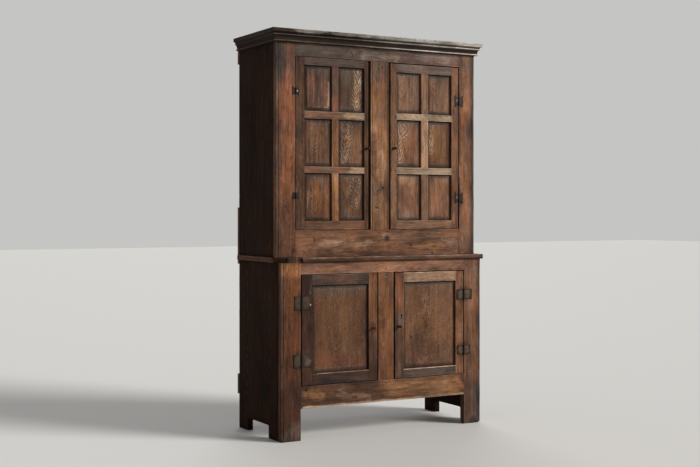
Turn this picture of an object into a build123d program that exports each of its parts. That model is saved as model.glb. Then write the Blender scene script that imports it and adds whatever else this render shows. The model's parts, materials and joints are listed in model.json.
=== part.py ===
"""Two-stage oak court cupboard: a base with two doors under a waist ledge, and an upper case with two
panelled doors under a moulded cornice.

X runs along the front, +Y to the back, +Z up, in millimetres. The origin is on the floor, under the
middle of the whole cupboard. Faces of the frames and doors look towards -Y.
"""

from build123d import *

import os
from collections import namedtuple

os.makedirs("parts", exist_ok=True)

# Overall sizes
total_height = 2080.0
case_width = 1212.0
base_depth = 511.0
upper_setback = 58.0  # the upper front stands this far behind the base front
waist_bottom = 896.0
waist_top = 922.0
waist_reach = 12.0
cornice_height = 69.0
cornice_reach = 34.0

# Timber
frame_thick = 30.0
side_thick = 32.0
door_thick = 24.0
back_thick = 18.0
shelf_thick = 18.0
top_thick = 22.0
batten_thick = 20.0
batten_chamfer = 2.0
housing_depth = 8.0
back_rebate = 14.0
cleat = 20.0
back_plank_count = 5
plank_gap = 1.5

# Joinery
tenon_thick = 10.0
tenon_front = 10.0  # from the face of the frame to the face of its tenons
tenon_shoulder = 12.0
rail_tenon = 62.0
muntin_tenon = 34.0
peg_radius = 3.95
peg_hole_radius = 4.0
peg_proud = 0.8
bead_width = 13.0
muntin_bead_width = 8.0
quirk = 2.2
bead_round = 5.0

# Doors
groove_front = 12.0
groove_thick = 7.0
groove_depth = 9.0
tongue_reach = 7.0
hinge_side_tenon = 30.0
meeting_side_tenon = 16.0
lip_setback = 13.0
field_rise = 3.0
high_field_rise = 6.5
bevel_width = 20.0
panel_clearance = 0.5

# Ironwork
leaf_thick = 2.5
knuckle_radius = 4.0
pin_radius = 2.0
running_clearance = 0.05
knuckle_gap = 0.4
leaf_clearance = 0.5
pin_head_radius = 3.2
pin_head_height = 2.0
knob_reach = 30.0
knob_radius = 7.5
knob_neck_radius = 3.6
rose_radius = 9.0
rose_thick = 2.0
spindle_radius = 4.0
face_clearance = 0.3
tongue_length = 52.0
tongue_width = 14.0
tongue_thick = 6.0
tongue_gap = 1.0  # between the back of the frame and the face of a turned tongue
tongue_tip_round = 6.0
boss_radius = 8.0

# Derived planes
half_width = case_width / 2
base_front = knob_reach - (knob_reach + base_depth + batten_thick) / 2
base_back = base_front + base_depth
upper_front = base_front + upper_setback
inner_half = half_width - side_thick
cornice_bottom = total_height - cornice_height
top_board_bottom = total_height - top_thick
back_inside = base_back - back_thick

# Base front
base_post_inner = (-495.0, 498.0)
base_muntin_x = (-41.0, 51.0)
base_top_rail_z = (837.0, waist_bottom)
base_bottom_rail_z = (159.0, 273.0)
base_board_top = 268.0
base_shelf_top = 570.0
foot_gap_y = (base_front + 145.0, base_front + 402.0)
foot_gap_height = 66.0
foot_gap_corner = 9.0
base_back_bottom = 172.0

# Upper front
upper_post_inner = (-497.0, 505.0)
upper_muntin_x = (-53.0, 55.0)
frieze_rail_z = (1945.0, top_board_bottom)
upper_bottom_rail_z = (waist_top, 1058.5)
upper_board_top = 1053.0
upper_shelf_tops = (1370.0, 1655.0)
shelf_front_gap = 64.0
shelf_round = 2.0

# Back
batten_spans = ((179.0, 285.0), (874.0, 1176.0), (1943.0, 2058.0))  # the middle one ties the two cases

# Waist: the left front corner is broken away, and the nosing stops short of it
nosing_left = -492.0
nosing_round = 10.0
joint_line = 0.2
broken_corner = (
    (-half_width, base_front + 84.0),
    (-588.0, base_front + 66.0),
    (-575.0, base_front + 24.0),
    (-570.0, base_front),
)

stile_edges = "hinge_edge hinge_inner meeting_inner meeting_edge lip_edge"
Door = namedtuple("Door", f"name side front {stile_edges} rails muntin axis_x knob_x knob_z hinges")
Hinge = namedtuple("Hinge", "bottom top frame_reach door_reach waist")

# The doors: side is -1 where the hinges are on the left and 1 where they are on the right. Rails are
# listed from the bottom up.
doors = (
    Door(
        name="upper_left_door",
        side=-1,
        front=upper_front,
        hinge_edge=-494.0,
        hinge_inner=-446.0,
        meeting_inner=-92.0,
        meeting_edge=-69.0,
        lip_edge=-57.0,
        rails=((1061.0, 1106.0), (1352.0, 1385.0), (1630.0, 1669.0), (1903.0, 1942.5)),
        muntin=(-285.0, -248.0),
        axis_x=-495.5,
        knob_x=-79.0,
        knob_z=1484.0,
        hinges=(Hinge(1216.0, 1254.0, 16.0, 19.0, 28.0), Hinge(1745.0, 1790.0, 17.0, 20.0, 28.0)),
    ),
    Door(
        name="upper_right_door",
        side=1,
        front=upper_front,
        hinge_edge=499.0,
        hinge_inner=457.0,
        meeting_inner=105.0,
        meeting_edge=68.0,
        lip_edge=59.0,
        rails=((1061.0, 1106.0), (1354.0, 1389.0), (1643.0, 1677.0), (1895.0, 1940.0)),
        muntin=(262.0, 304.0),
        axis_x=502.0,
        knob_x=86.0,
        knob_z=1489.0,
        hinges=(Hinge(1195.0, 1261.0, 28.0, 23.0, 38.0), Hinge(1724.0, 1790.0, 28.0, 23.0, 38.0)),
    ),
    Door(
        name="base_left_door",
        side=-1,
        front=base_front,
        hinge_edge=-489.0,
        hinge_inner=-431.0,
        meeting_inner=-99.0,
        meeting_edge=-48.0,
        lip_edge=-48.0,
        rails=((276.0, 333.0), (780.0, 834.5)),
        muntin=None,
        axis_x=-492.0,
        knob_x=-74.0,
        knob_z=549.0,
        hinges=(Hinge(366.0, 435.0, 46.0, 57.0, 60.0), Hinge(657.0, 729.0, 40.0, 57.0, 66.0)),
    ),
    Door(
        name="base_right_door",
        side=1,
        front=base_front,
        hinge_edge=492.0,
        hinge_inner=444.0,
        meeting_inner=114.0,
        meeting_edge=61.0,
        lip_edge=61.0,
        rails=((275.5, 322.0), (781.0, 832.5)),
        muntin=None,
        axis_x=495.0,
        knob_x=82.0,
        knob_z=549.0,
        hinges=(Hinge(380.0, 429.0, 43.0, 42.0, 49.0), Hinge(677.0, 733.0, 55.0, 45.0, 56.0)),
    ),
)
locked_door = doors[3]
high_field_door = doors[0]

# Lock, behind the keyhole of the locked door
keyhole_x = 99.0
keyhole_z = (588.0, 611.0)
keyhole_radius = 5.0
keyhole_slot = 4.5
lock_x = (66.0, 116.0)
lock_z = (574.0, 638.0)
lock_thick = 15.0
lock_plate = 2.0
bolt_x = (67.0, 107.0)
bolt_z = (613.0, 627.0)
bolt_thick = 5.0
bolt_notch = 8.0


def span(a, b):
    """The two values in rising order."""
    return (min(a, b), max(a, b))


def block(x, y, z, mode=Mode.ADD):
    """A square-cut piece between two x, two y and two z values."""
    with Locations(((x[0] + x[1]) / 2, (y[0] + y[1]) / 2, (z[0] + z[1]) / 2)):
        Box(x[1] - x[0], y[1] - y[0], z[1] - z[0], mode=mode)


def rod(x, y, z, radius, mode=Mode.ADD):
    """A round bar along Y, between two y values."""
    with Locations(Plane(origin=(x, y[0], z), z_dir=(0, 1, 0))):
        Cylinder(radius, y[1] - y[0], align=(Align.CENTER, Align.CENTER, Align.MIN), mode=mode)


def upright(x, y, z, radius, mode=Mode.ADD):
    """A round bar along Z, between two z values."""
    with Locations((x, y, z[0])):
        Cylinder(radius, z[1] - z[0], align=(Align.CENTER, Align.CENTER, Align.MIN), mode=mode)


def save(builder, name):
    builder.part.label = name
    export_step(builder.part, f"parts/{name}.step")


def tenon_y(front):
    return (front + tenon_front, front + tenon_front + tenon_thick)


def frame_y(front):
    return (front, front + frame_thick)


def inset(z, by=tenon_shoulder):
    return (z[0] + by, z[1] - by)


# ---------------------------------------------------------------------------- face frames

peg_inset = 22.0  # from the shoulder of a joint to its pegs


def rail_pegs(post_inner, rail_z):
    """The pegs of a rail's two end joints: one each in a narrow rail, two in a wide one."""
    low, high = inset(rail_z, 2 * tenon_shoulder)
    heights = (low, high) if high - low > 30 else ((rail_z[0] + rail_z[1]) / 2,)
    places = []
    for edge, outward in zip(post_inner, (-1, 1)):
        places += [(edge + outward * peg_inset, z) for z in heights]
    return places


def muntin_pegs(muntin_x, low_rail, high_rail):
    middle = (muntin_x[0] + muntin_x[1]) / 2
    return [(middle, low_rail[1] - muntin_tenon / 2), (middle, high_rail[0] + muntin_tenon / 2)]


base_rails = (base_bottom_rail_z, base_top_rail_z)
upper_rails = (upper_bottom_rail_z, frieze_rail_z)
base_pegs = [p for z in base_rails for p in rail_pegs(base_post_inner, z)]
base_pegs += muntin_pegs(base_muntin_x, *base_rails)
bare_rails = (upper_bottom_rail_z, (frieze_rail_z[0], cornice_bottom))
upper_pegs = [p for z in bare_rails for p in rail_pegs(upper_post_inner, z)]
upper_pegs += muntin_pegs(upper_muntin_x, *upper_rails)


def bore_pegs(front, places):
    for x, z in places:
        rod(x, frame_y(front), z, peg_hole_radius, mode=Mode.SUBTRACT)


def make_post(name, side, front, inner_x, z, rails, pegs):
    """A front post: a wide board with a bead along its outer edge, mortised for the rails."""
    outer_x = side * half_width
    quirk_x = outer_x - side * bead_width
    with BuildPart() as post:
        block(span(outer_x, inner_x), frame_y(front), z)
        outer_edge = post.edges().filter_by(Axis.Z).group_by(Axis.Y)[0].sort_by(Axis.X)[0 if side < 0 else -1]
        fillet(outer_edge, bead_round)
        block(span(quirk_x, quirk_x - side * quirk), (front, front + quirk), z, mode=Mode.SUBTRACT)
        for rail_z in rails:
            block(span(inner_x, inner_x + side * rail_tenon), tenon_y(front), inset(rail_z), mode=Mode.SUBTRACT)
        bore_pegs(front, [p for p in pegs if (p[0] - inner_x) * side > 0])
    save(post, name)


def make_rail(name, front, inner_x, z, muntin_x, muntin_above, pegs):
    """A rail between the posts, with a tenon at each end and a mortise for the middle muntin."""
    with BuildPart() as rail:
        block(inner_x, frame_y(front), z)
        block((inner_x[0] - rail_tenon, inner_x[1] + rail_tenon), tenon_y(front), inset(z))
        mortise_z = (z[1] - muntin_tenon, z[1]) if muntin_above else (z[0], z[0] + muntin_tenon)
        block(inset(muntin_x), tenon_y(front), mortise_z, mode=Mode.SUBTRACT)
        bore_pegs(front, [p for p in pegs if z[0] < p[1] < z[1]])
    save(rail, name)


def make_muntin(name, front, x, low_rail, high_rail, pegs, beaded):
    """The upright in the middle of a front, tenoned into the rails below and above."""
    with BuildPart() as muntin:
        block(x, frame_y(front), (low_rail[1], high_rail[0]))
        if beaded:
            for edge, inward in ((x[0], 1), (x[1], -1)):
                line_x = edge + inward * muntin_bead_width
                groove_x = span(line_x, line_x + inward * quirk)
                block(groove_x, (front, front + quirk), (low_rail[1], high_rail[0]), mode=Mode.SUBTRACT)
        block(inset(x), tenon_y(front), (low_rail[1] - muntin_tenon, high_rail[0] + muntin_tenon))
        bore_pegs(front, [p for p in pegs if x[0] < p[0] < x[1]])
    save(muntin, name)


make_post("base_post_left", -1, base_front, base_post_inner[0], (0, waist_bottom), base_rails, base_pegs)
make_post("base_post_right", 1, base_front, base_post_inner[1], (0, waist_bottom), base_rails, base_pegs)
make_rail("base_top_rail", base_front, base_post_inner, base_top_rail_z, base_muntin_x, False, base_pegs)
make_rail("base_bottom_rail", base_front, base_post_inner, base_bottom_rail_z, base_muntin_x, True, base_pegs)
make_muntin("base_center_muntin", base_front, base_muntin_x, *base_rails, base_pegs, beaded=False)

upper_post_z = (waist_top, top_board_bottom)
make_post("upper_post_left", -1, upper_front, upper_post_inner[0], upper_post_z, upper_rails, upper_pegs)
make_post("upper_post_right", 1, upper_front, upper_post_inner[1], upper_post_z, upper_rails, upper_pegs)
make_rail("frieze_rail", upper_front, upper_post_inner, frieze_rail_z, upper_muntin_x, False, upper_pegs)
make_rail(
    "upper_bottom_rail", upper_front, upper_post_inner, upper_bottom_rail_z, upper_muntin_x, True, upper_pegs
)
make_muntin("upper_center_muntin", upper_front, upper_muntin_x, *upper_rails, upper_pegs, beaded=True)

with BuildPart() as frame_pegs:
    for front, places in ((base_front, base_pegs), (upper_front, upper_pegs)):
        for x, z in places:
            rod(x, (front - peg_proud, front + frame_thick), z, peg_radius)
save(frame_pegs, "frame_pegs")


# ---------------------------------------------------------------------------- carcase boards


def make_side(name, side, front, z, board_top, feet):
    """A side board, nailed behind the post, housed for the bottom board and rebated for the back."""
    outer_x = side * half_width
    inner_x = side * inner_half
    with BuildPart() as board:
        block(span(outer_x, inner_x), (front + frame_thick, base_back), z)
        if feet:
            block(span(outer_x, inner_x), foot_gap_y, (0, foot_gap_height), mode=Mode.SUBTRACT)
            gap_corners = (
                board.edges()
                .filter_by(Axis.X)
                .filter_by_position(Axis.Z, foot_gap_height - 1, foot_gap_height + 1)
            )
            fillet(gap_corners, foot_gap_corner)
        housing_x = span(inner_x, inner_x + side * housing_depth)
        housing_z = (board_top - shelf_thick, board_top)
        block(housing_x, (front + frame_thick, back_inside), housing_z, mode=Mode.SUBTRACT)
        rebate_z = (max(z[0], base_back_bottom), z[1])
        block(span(inner_x, inner_x + side * back_rebate), (back_inside, base_back), rebate_z, mode=Mode.SUBTRACT)
    save(board, name)


def make_bottom_board(name, front, board_top):
    reach = inner_half + housing_depth
    with BuildPart() as board:
        block((-reach, reach), (front + frame_thick, back_inside), (board_top - shelf_thick, board_top))
    save(board, name)


def make_back_boards(name, z):
    """Upright planks side by side in the rebates of the two side boards."""
    reach = inner_half + back_rebate
    width = (2 * reach - (back_plank_count - 1) * plank_gap) / back_plank_count
    with BuildPart() as planks:
        for i in range(back_plank_count):
            left = -reach + i * (width + plank_gap)
            block((left, left + width), (back_inside, base_back), z)
    save(planks, name)


base_side_z = (0, waist_bottom)
upper_side_z = (waist_top, top_board_bottom)
make_side("base_side_left", -1, base_front, base_side_z, base_board_top, feet=True)
make_side("base_side_right", 1, base_front, base_side_z, base_board_top, feet=True)
make_side("upper_side_left", -1, upper_front, upper_side_z, upper_board_top, feet=False)
make_side("upper_side_right", 1, upper_front, upper_side_z, upper_board_top, feet=False)
make_bottom_board("base_bottom_board", base_front, base_board_top)
make_bottom_board("upper_bottom_board", upper_front, upper_board_top)
make_back_boards("base_back_boards", (base_back_bottom, waist_bottom))
make_back_boards("upper_back_boards", (waist_top, top_board_bottom))


def make_shelves(name, front, tops):
    with BuildPart() as shelves:
        for top in tops:
            block((-inner_half, inner_half), (front + shelf_front_gap, back_inside), (top - shelf_thick, top))
        fillet(shelves.edges().filter_by(Axis.X).group_by(Axis.Y)[0], shelf_round)
    save(shelves, name)


make_shelves("base_shelf", base_front, (base_shelf_top,))
make_shelves("upper_shelves", upper_front, upper_shelf_tops)

with BuildPart() as shelf_cleats:
    for front, tops in ((base_front, (base_shelf_top,)), (upper_front, upper_shelf_tops)):
        for top in tops:
            cleat_z = (top - shelf_thick - cleat, top - shelf_thick)
            for side in (-1, 1):
                cleat_x = span(side * inner_half, side * (inner_half - cleat))
                block(cleat_x, (front + shelf_front_gap + cleat, back_inside), cleat_z)
save(shelf_cleats, "shelf_cleats")

with BuildPart() as top_board:
    block((-half_width, half_width), (upper_front, base_back), (top_board_bottom, total_height))
save(top_board, "top_board")

with BuildPart() as back_battens:
    for batten_z in batten_spans:
        block((-half_width, half_width), (base_back, base_back + batten_thick), batten_z)
    chamfer(back_battens.edges().group_by(Axis.Y)[-1], batten_chamfer)
save(back_battens, "back_battens")


# ---------------------------------------------------------------------------- waist and cornice

with BuildPart() as waist_board:
    with BuildSketch(Plane.XY.offset(waist_bottom)):
        with BuildLine():
            Polyline(
                *broken_corner,
                (half_width, base_front),
                (half_width, base_back),
                (-half_width, base_back),
                close=True,
            )
        make_face()
    extrude(amount=waist_top - waist_bottom)
save(waist_board, "waist_board")

# A rounded strip along the front, and one along each side
waist_z = (waist_bottom, waist_top)
nosing_right = half_width + waist_reach
with BuildPart() as waist_nosing:
    block((nosing_left, nosing_right), (base_front - waist_reach, base_front), waist_z)
    fillet(waist_nosing.edges().filter_by(Axis.X).group_by(Axis.Y)[0], nosing_round)
    fillet(waist_nosing.edges().filter_by(Axis.Z).group_by(Axis.Y)[0].sort_by(Axis.X)[0], waist_reach / 2)
    block((-nosing_right, -half_width), (broken_corner[0][1], base_back), waist_z)
    fillet(waist_nosing.edges().filter_by(Axis.Y).group_by(Axis.X)[0], nosing_round)
    block((half_width, nosing_right), (base_front + joint_line, base_back), waist_z)
    fillet(waist_nosing.edges().filter_by(Axis.Y).group_by(Axis.X)[-1], nosing_round)
save(waist_nosing, "waist_nosing")

# The cornice profile, from the bottom of its inner edge: reach from the case, and height
low_bead = ((13.0, 1.5), (18.5, 6.0), (13.0, 10.5))
big_cove = ((13.0, 10.5), (15.5, 24.0), (22.0, 32.0))
mid_bead = ((22.0, 32.0), (25.0, 34.5), (22.0, 37.0))
small_cove = ((22.0, 37.0), (25.0, 43.5), (31.0, 47.0))
cap_front = ((31.0, 47.0), (cornice_reach, 50.0), (cornice_reach, cornice_height - 4.0))
cap_top = ((cornice_reach - 3.0, cornice_height), (0.0, cornice_height))


def profile_point(face, outward, point):
    """A point of the cornice profile, for a strip that stands out from a face."""
    return (face + outward * point[0], cornice_bottom + point[1])


def cornice_profile(face, outward):
    """The closed section of a cornice strip, across its run and up."""
    with BuildSketch() as section:
        with BuildLine():
            points = [profile_point(face, outward, p) for p in ((0.0, 0.0), low_bead[0])]
            Polyline(*points)
            for arc in (low_bead, big_cove, mid_bead, small_cove):
                ThreePointArc(*[profile_point(face, outward, p) for p in arc])
            Polyline(*[profile_point(face, outward, p) for p in cap_front + cap_top + ((0.0, 0.0),)])
        make_face()
    return section.sketch


mitre_planes = {
    -1: Plane(origin=(-half_width, upper_front, 0), z_dir=(1, -1, 0)),
    1: Plane(origin=(half_width, upper_front, 0), z_dir=(-1, -1, 0)),
}
cornice_end = half_width + cornice_reach

with BuildPart() as cornice_front:
    with BuildSketch(Plane.YZ.offset(-cornice_end)):
        add(cornice_profile(upper_front, -1))
    extrude(amount=2 * cornice_end)
    for plane in mitre_planes.values():
        split(bisect_by=plane, keep=Keep.TOP)
save(cornice_front, "cornice_front")

for side, name in ((-1, "cornice_left"), (1, "cornice_right")):
    with BuildPart() as cornice_side:
        # Plane.XZ looks towards -Y, so its offset is minus the y of the plane
        with BuildSketch(Plane.XZ.offset(-base_back)):
            add(cornice_profile(side * half_width, side))
        extrude(amount=base_back - (upper_front - cornice_reach))
        split(bisect_by=mitre_planes[side], keep=Keep.BOTTOM)
    save(cornice_side, name)


# ---------------------------------------------------------------------------- doors


def door_z(door):
    return (door.rails[0][0], door.rails[-1][1])


def door_y(door):
    return (door.front, door.front + door_thick)


def groove_y(door):
    return (door.front + groove_front, door.front + groove_front + groove_thick)


def tenon_z(rail):
    """The height of a rail's tenons, which are narrower than the rail by the grooves' depth."""
    return inset(rail, groove_depth)


def tenon_ends(door):
    """The x of the ends of the tenons, in the hinge stile and in the meeting stile."""
    return (door.hinge_inner + door.side * hinge_side_tenon, door.meeting_inner - door.side * meeting_side_tenon)


def door_peg_places(door):
    hinge_end, meeting_end = tenon_ends(door)
    peg_x = ((door.hinge_inner + hinge_end) / 2, (door.meeting_inner + meeting_end) / 2)
    return [(x, (rail[0] + rail[1]) / 2) for rail in door.rails for x in peg_x]


def bore_door(door):
    for x, z in door_peg_places(door):
        rod(x, door_y(door), z, peg_hole_radius, mode=Mode.SUBTRACT)


def cut_keyhole(y):
    """A round hole over a straight slot, through everything between two y values."""
    top = keyhole_z[1] - keyhole_radius
    rod(keyhole_x, y, top, keyhole_radius, mode=Mode.SUBTRACT)
    block((keyhole_x - keyhole_slot / 2, keyhole_x + keyhole_slot / 2), y, (keyhole_z[0], top), mode=Mode.SUBTRACT)


def make_stiles(door):
    hinge_end, meeting_end = tenon_ends(door)
    with BuildPart() as stiles:
        block(span(door.hinge_edge, door.hinge_inner), door_y(door), door_z(door))
        block(span(door.meeting_inner, door.meeting_edge), door_y(door), door_z(door))
        if door.lip_edge != door.meeting_edge:
            lip_y = (door.front + lip_setback, door.front + door_thick)
            block(span(door.meeting_edge, door.lip_edge), lip_y, door_z(door))
        for rail in door.rails:
            block(span(hinge_end, meeting_end), groove_y(door), tenon_z(rail), mode=Mode.SUBTRACT)
        groove_ends = (door.hinge_inner + door.side * groove_depth, door.meeting_inner - door.side * groove_depth)
        block(span(*groove_ends), groove_y(door), inset(door_z(door), groove_depth), mode=Mode.SUBTRACT)
        bore_door(door)
        rod(door.knob_x, door_y(door), door.knob_z, spindle_radius + running_clearance, mode=Mode.SUBTRACT)
        if door is locked_door:
            cut_keyhole(door_y(door))
    save(stiles, f"{door.name}_stiles")


def make_rails(door):
    with BuildPart() as rails:
        for rail in door.rails:
            block(span(door.hinge_inner, door.meeting_inner), door_y(door), rail)
            block(span(*tenon_ends(door)), groove_y(door), tenon_z(rail))
        for lower, upper in zip(door.rails, door.rails[1:]):
            gap_z = (lower[1] - groove_depth, upper[0] + groove_depth)
            block(span(door.hinge_inner, door.meeting_inner), groove_y(door), gap_z, mode=Mode.SUBTRACT)
        bore_door(door)
    save(rails, f"{door.name}_rails")


def make_muntins(door):
    """Short uprights between the rails, with stub tenons in the grooves."""
    with BuildPart() as muntins:
        for lower, upper in zip(door.rails, door.rails[1:]):
            block(door.muntin, door_y(door), (lower[1], upper[0]))
            block(door.muntin, groove_y(door), (lower[1] - groove_depth, upper[0] + groove_depth))
            for edge, inward in ((door.muntin[0], 1), (door.muntin[1], -1)):
                groove_x = span(edge, edge + inward * groove_depth)
                groove_z = (lower[1] - groove_depth, upper[0] + groove_depth)
                block(groove_x, groove_y(door), groove_z, mode=Mode.SUBTRACT)
    save(muntins, f"{door.name}_muntins")


def panel_openings(door):
    """The x and z limits of each opening in the door's frame."""
    clear = span(door.hinge_inner, door.meeting_inner)
    columns = [clear]
    if door.muntin:
        columns = [(clear[0], door.muntin[0]), (door.muntin[1], clear[1])]
    rows = [(lower[1], upper[0]) for lower, upper in zip(door.rails, door.rails[1:])]
    return [(x, z) for z in rows for x in columns]


def centre(x, z):
    return ((x[0] + x[1]) / 2, (z[0] + z[1]) / 2)


def make_panels(door):
    """Boards loose in the grooves, each with a bevelled border round a raised field."""
    openings = panel_openings(door)
    with BuildPart() as panels:
        for index, (x, z) in enumerate(openings):
            block(inset(x, -tongue_reach), groove_y(door), inset(z, -tongue_reach))
            high = door is high_field_door and index == len(openings) - 2
            rise = high_field_rise if high else field_rise
            foot = Plane.XZ.offset(-(door.front + groove_front))
            for plane, border in ((foot, panel_clearance), (foot.offset(rise), bevel_width)):
                with BuildSketch(plane):
                    with Locations(centre(x, z)):
                        Rectangle(x[1] - x[0] - 2 * border, z[1] - z[0] - 2 * border)
            loft()
    save(panels, f"{door.name}_panel{'s' if len(openings) > 1 else ''}")


def make_door_pegs(door):
    with BuildPart() as pegs:
        for x, z in door_peg_places(door):
            rod(x, (door.front - peg_proud, door.front + door_thick), z, peg_radius)
    save(pegs, f"{door.name}_pegs")


for door in doors:
    make_stiles(door)
    make_rails(door)
    if door.muntin:
        make_muntins(door)
    make_panels(door)
    make_door_pegs(door)


# ---------------------------------------------------------------------------- hinges


def knuckle_spans(hinge):
    """The z limits of a hinge's three knuckles: frame leaf, door leaf, frame leaf."""
    middle = (hinge.bottom + hinge.top) / 2
    half = hinge.waist / 2
    third = hinge.waist / 3
    edges = [middle - half, middle - half + third, middle + half - third, middle + half]
    return [(edges[i] + knuckle_gap / 2, edges[i + 1] - knuckle_gap / 2) for i in range(3)]


def add_leaf(door, hinge, reach, direction, knuckles):
    """A plate nailed to the face, and its knuckles round the pin. It narrows from its outer end to its
    waist beside the pin; direction is the way that it lies from the pin along X."""
    middle = (hinge.bottom + hinge.top) / 2
    near = door.axis_x + direction * (knuckle_radius + leaf_clearance)
    far = door.axis_x + direction * reach
    with BuildSketch(Plane.XZ.offset(-door.front)) as plate:
        with BuildLine():
            Polyline(
                (near, middle - hinge.waist / 2),
                (far, hinge.bottom),
                (far, hinge.top),
                (near, middle + hinge.waist / 2),
                close=True,
            )
        make_face()
    extrude(plate.sketch, amount=leaf_thick)
    axis_y = door.front - knuckle_radius
    for knuckle_z in knuckles:
        block(span(near, door.axis_x), (door.front - leaf_thick, door.front), knuckle_z)
        upright(door.axis_x, axis_y, knuckle_z, knuckle_radius)
        upright(door.axis_x, axis_y, knuckle_z, pin_radius + running_clearance, mode=Mode.SUBTRACT)


with BuildPart() as hinge_frame_leaves:
    for door in doors:
        for hinge in door.hinges:
            low, _, high = knuckle_spans(hinge)
            add_leaf(door, hinge, hinge.frame_reach, door.side, (low, high))
save(hinge_frame_leaves, "hinge_frame_leaves")

for door in doors:
    with BuildPart() as door_leaves:
        for hinge in door.hinges:
            add_leaf(door, hinge, hinge.door_reach, -door.side, (knuckle_spans(hinge)[1],))
    save(door_leaves, f"{door.name}_hinge_leaves")

with BuildPart() as hinge_pins:
    for door in doors:
        for hinge in door.hinges:
            low, _, high = knuckle_spans(hinge)
            shank = (low[0] - face_clearance, high[1] + face_clearance)
            axis_y = door.front - knuckle_radius
            upright(door.axis_x, axis_y, shank, pin_radius)
            for head in ((shank[0] - pin_head_height, shank[0]), (shank[1], shank[1] + pin_head_height)):
                upright(door.axis_x, axis_y, head, pin_head_radius)
save(hinge_pins, "hinge_pins")


# ---------------------------------------------------------------------------- turning catches

# Two solids each: the knob with its spindle through the stile, and the tongue fast on the spindle's end
for door in doors:
    tongue_y = (door.front + frame_thick + tongue_gap, door.front + frame_thick + tongue_gap + tongue_thick)
    boss_y = (door.front + door_thick + face_clearance, tongue_y[1])
    rose_y = (door.front - face_clearance - rose_thick, door.front - face_clearance)
    knob_y = door.front - knob_reach + knob_radius
    with BuildPart() as tongue:
        rod(door.knob_x, boss_y, door.knob_z, boss_radius)
        blade_x = (door.knob_x - tongue_width / 2, door.knob_x + tongue_width / 2)
        block(blade_x, tongue_y, (door.knob_z - tongue_length, door.knob_z))
        fillet(tongue.edges().filter_by(Axis.Y).group_by(Axis.Z)[0], tongue_tip_round)
        rod(door.knob_x, boss_y, door.knob_z, spindle_radius, mode=Mode.SUBTRACT)
    with BuildPart() as knob:
        rod(door.knob_x, rose_y, door.knob_z, rose_radius)
        rod(door.knob_x, (rose_y[0], tongue_y[1]), door.knob_z, spindle_radius)
        rod(door.knob_x, (knob_y, rose_y[0]), door.knob_z, knob_neck_radius)
        with Locations((door.knob_x, knob_y, door.knob_z)):
            Sphere(knob_radius)
    catch = Compound(children=[knob.part, tongue.part])
    catch.label = door.name.replace("door", "catch")
    export_step(catch, f"parts/{catch.label}.step")


# ---------------------------------------------------------------------------- lock

lock_y = (base_front + door_thick, base_front + door_thick + lock_thick)
bolt_y = (base_front + frame_thick + tongue_gap, base_front + frame_thick + tongue_gap + bolt_thick)

with BuildPart() as lock_case:
    block(lock_x, lock_y, lock_z)
    block(inset(lock_x, lock_plate), inset(lock_y, lock_plate), inset(lock_z, lock_plate), mode=Mode.SUBTRACT)
    slot = (lock_x[0], lock_x[0] + lock_plate)
    block(slot, inset(bolt_y, -face_clearance), inset(bolt_z, -face_clearance), mode=Mode.SUBTRACT)
    cut_keyhole((lock_y[0], lock_y[0] + lock_plate))
save(lock_case, "lock_case")

with BuildPart() as lock_bolt:
    block(bolt_x, bolt_y, bolt_z)
    notch_x = (keyhole_x - bolt_notch / 2, keyhole_x + bolt_notch / 2)
    block(notch_x, bolt_y, (bolt_z[0], bolt_z[0] + bolt_notch / 2), mode=Mode.SUBTRACT)
save(lock_bolt, "lock_bolt")
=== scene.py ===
"""Looks of the two-stage oak cupboard: worn boards, fielded panels, old oak and blackened iron.

Metres in the row frame: X along the front, +Y to the back, +Z up. Marks on the wood are in millimetres.
"""

import json
import math
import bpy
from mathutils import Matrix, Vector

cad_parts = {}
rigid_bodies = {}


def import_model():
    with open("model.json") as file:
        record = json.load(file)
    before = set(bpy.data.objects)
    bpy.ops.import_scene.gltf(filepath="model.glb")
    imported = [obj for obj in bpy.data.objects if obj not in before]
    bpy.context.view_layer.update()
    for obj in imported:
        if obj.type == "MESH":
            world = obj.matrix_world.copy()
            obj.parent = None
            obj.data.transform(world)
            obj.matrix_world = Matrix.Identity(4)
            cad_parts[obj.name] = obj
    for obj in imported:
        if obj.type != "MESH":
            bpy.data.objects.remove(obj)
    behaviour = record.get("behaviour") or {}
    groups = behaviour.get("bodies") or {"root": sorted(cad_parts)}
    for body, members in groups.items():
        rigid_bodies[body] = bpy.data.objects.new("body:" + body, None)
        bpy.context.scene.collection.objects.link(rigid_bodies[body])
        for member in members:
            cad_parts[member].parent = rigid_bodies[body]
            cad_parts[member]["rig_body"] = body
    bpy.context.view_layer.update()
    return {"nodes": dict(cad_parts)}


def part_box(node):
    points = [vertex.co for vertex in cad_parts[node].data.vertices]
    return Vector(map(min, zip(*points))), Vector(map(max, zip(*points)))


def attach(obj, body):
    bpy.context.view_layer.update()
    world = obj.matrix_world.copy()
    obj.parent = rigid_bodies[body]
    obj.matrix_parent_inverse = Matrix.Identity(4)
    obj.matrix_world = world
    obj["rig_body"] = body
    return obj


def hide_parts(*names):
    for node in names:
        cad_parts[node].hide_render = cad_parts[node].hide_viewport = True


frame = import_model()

import zlib
from collections import namedtuple

import bmesh
import bpy
import numpy as np
from mathutils import Vector

MM = 0.001
AXES = "XYZ"
nodes = frame["nodes"]


# -------- sizes of the joinery

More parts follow.
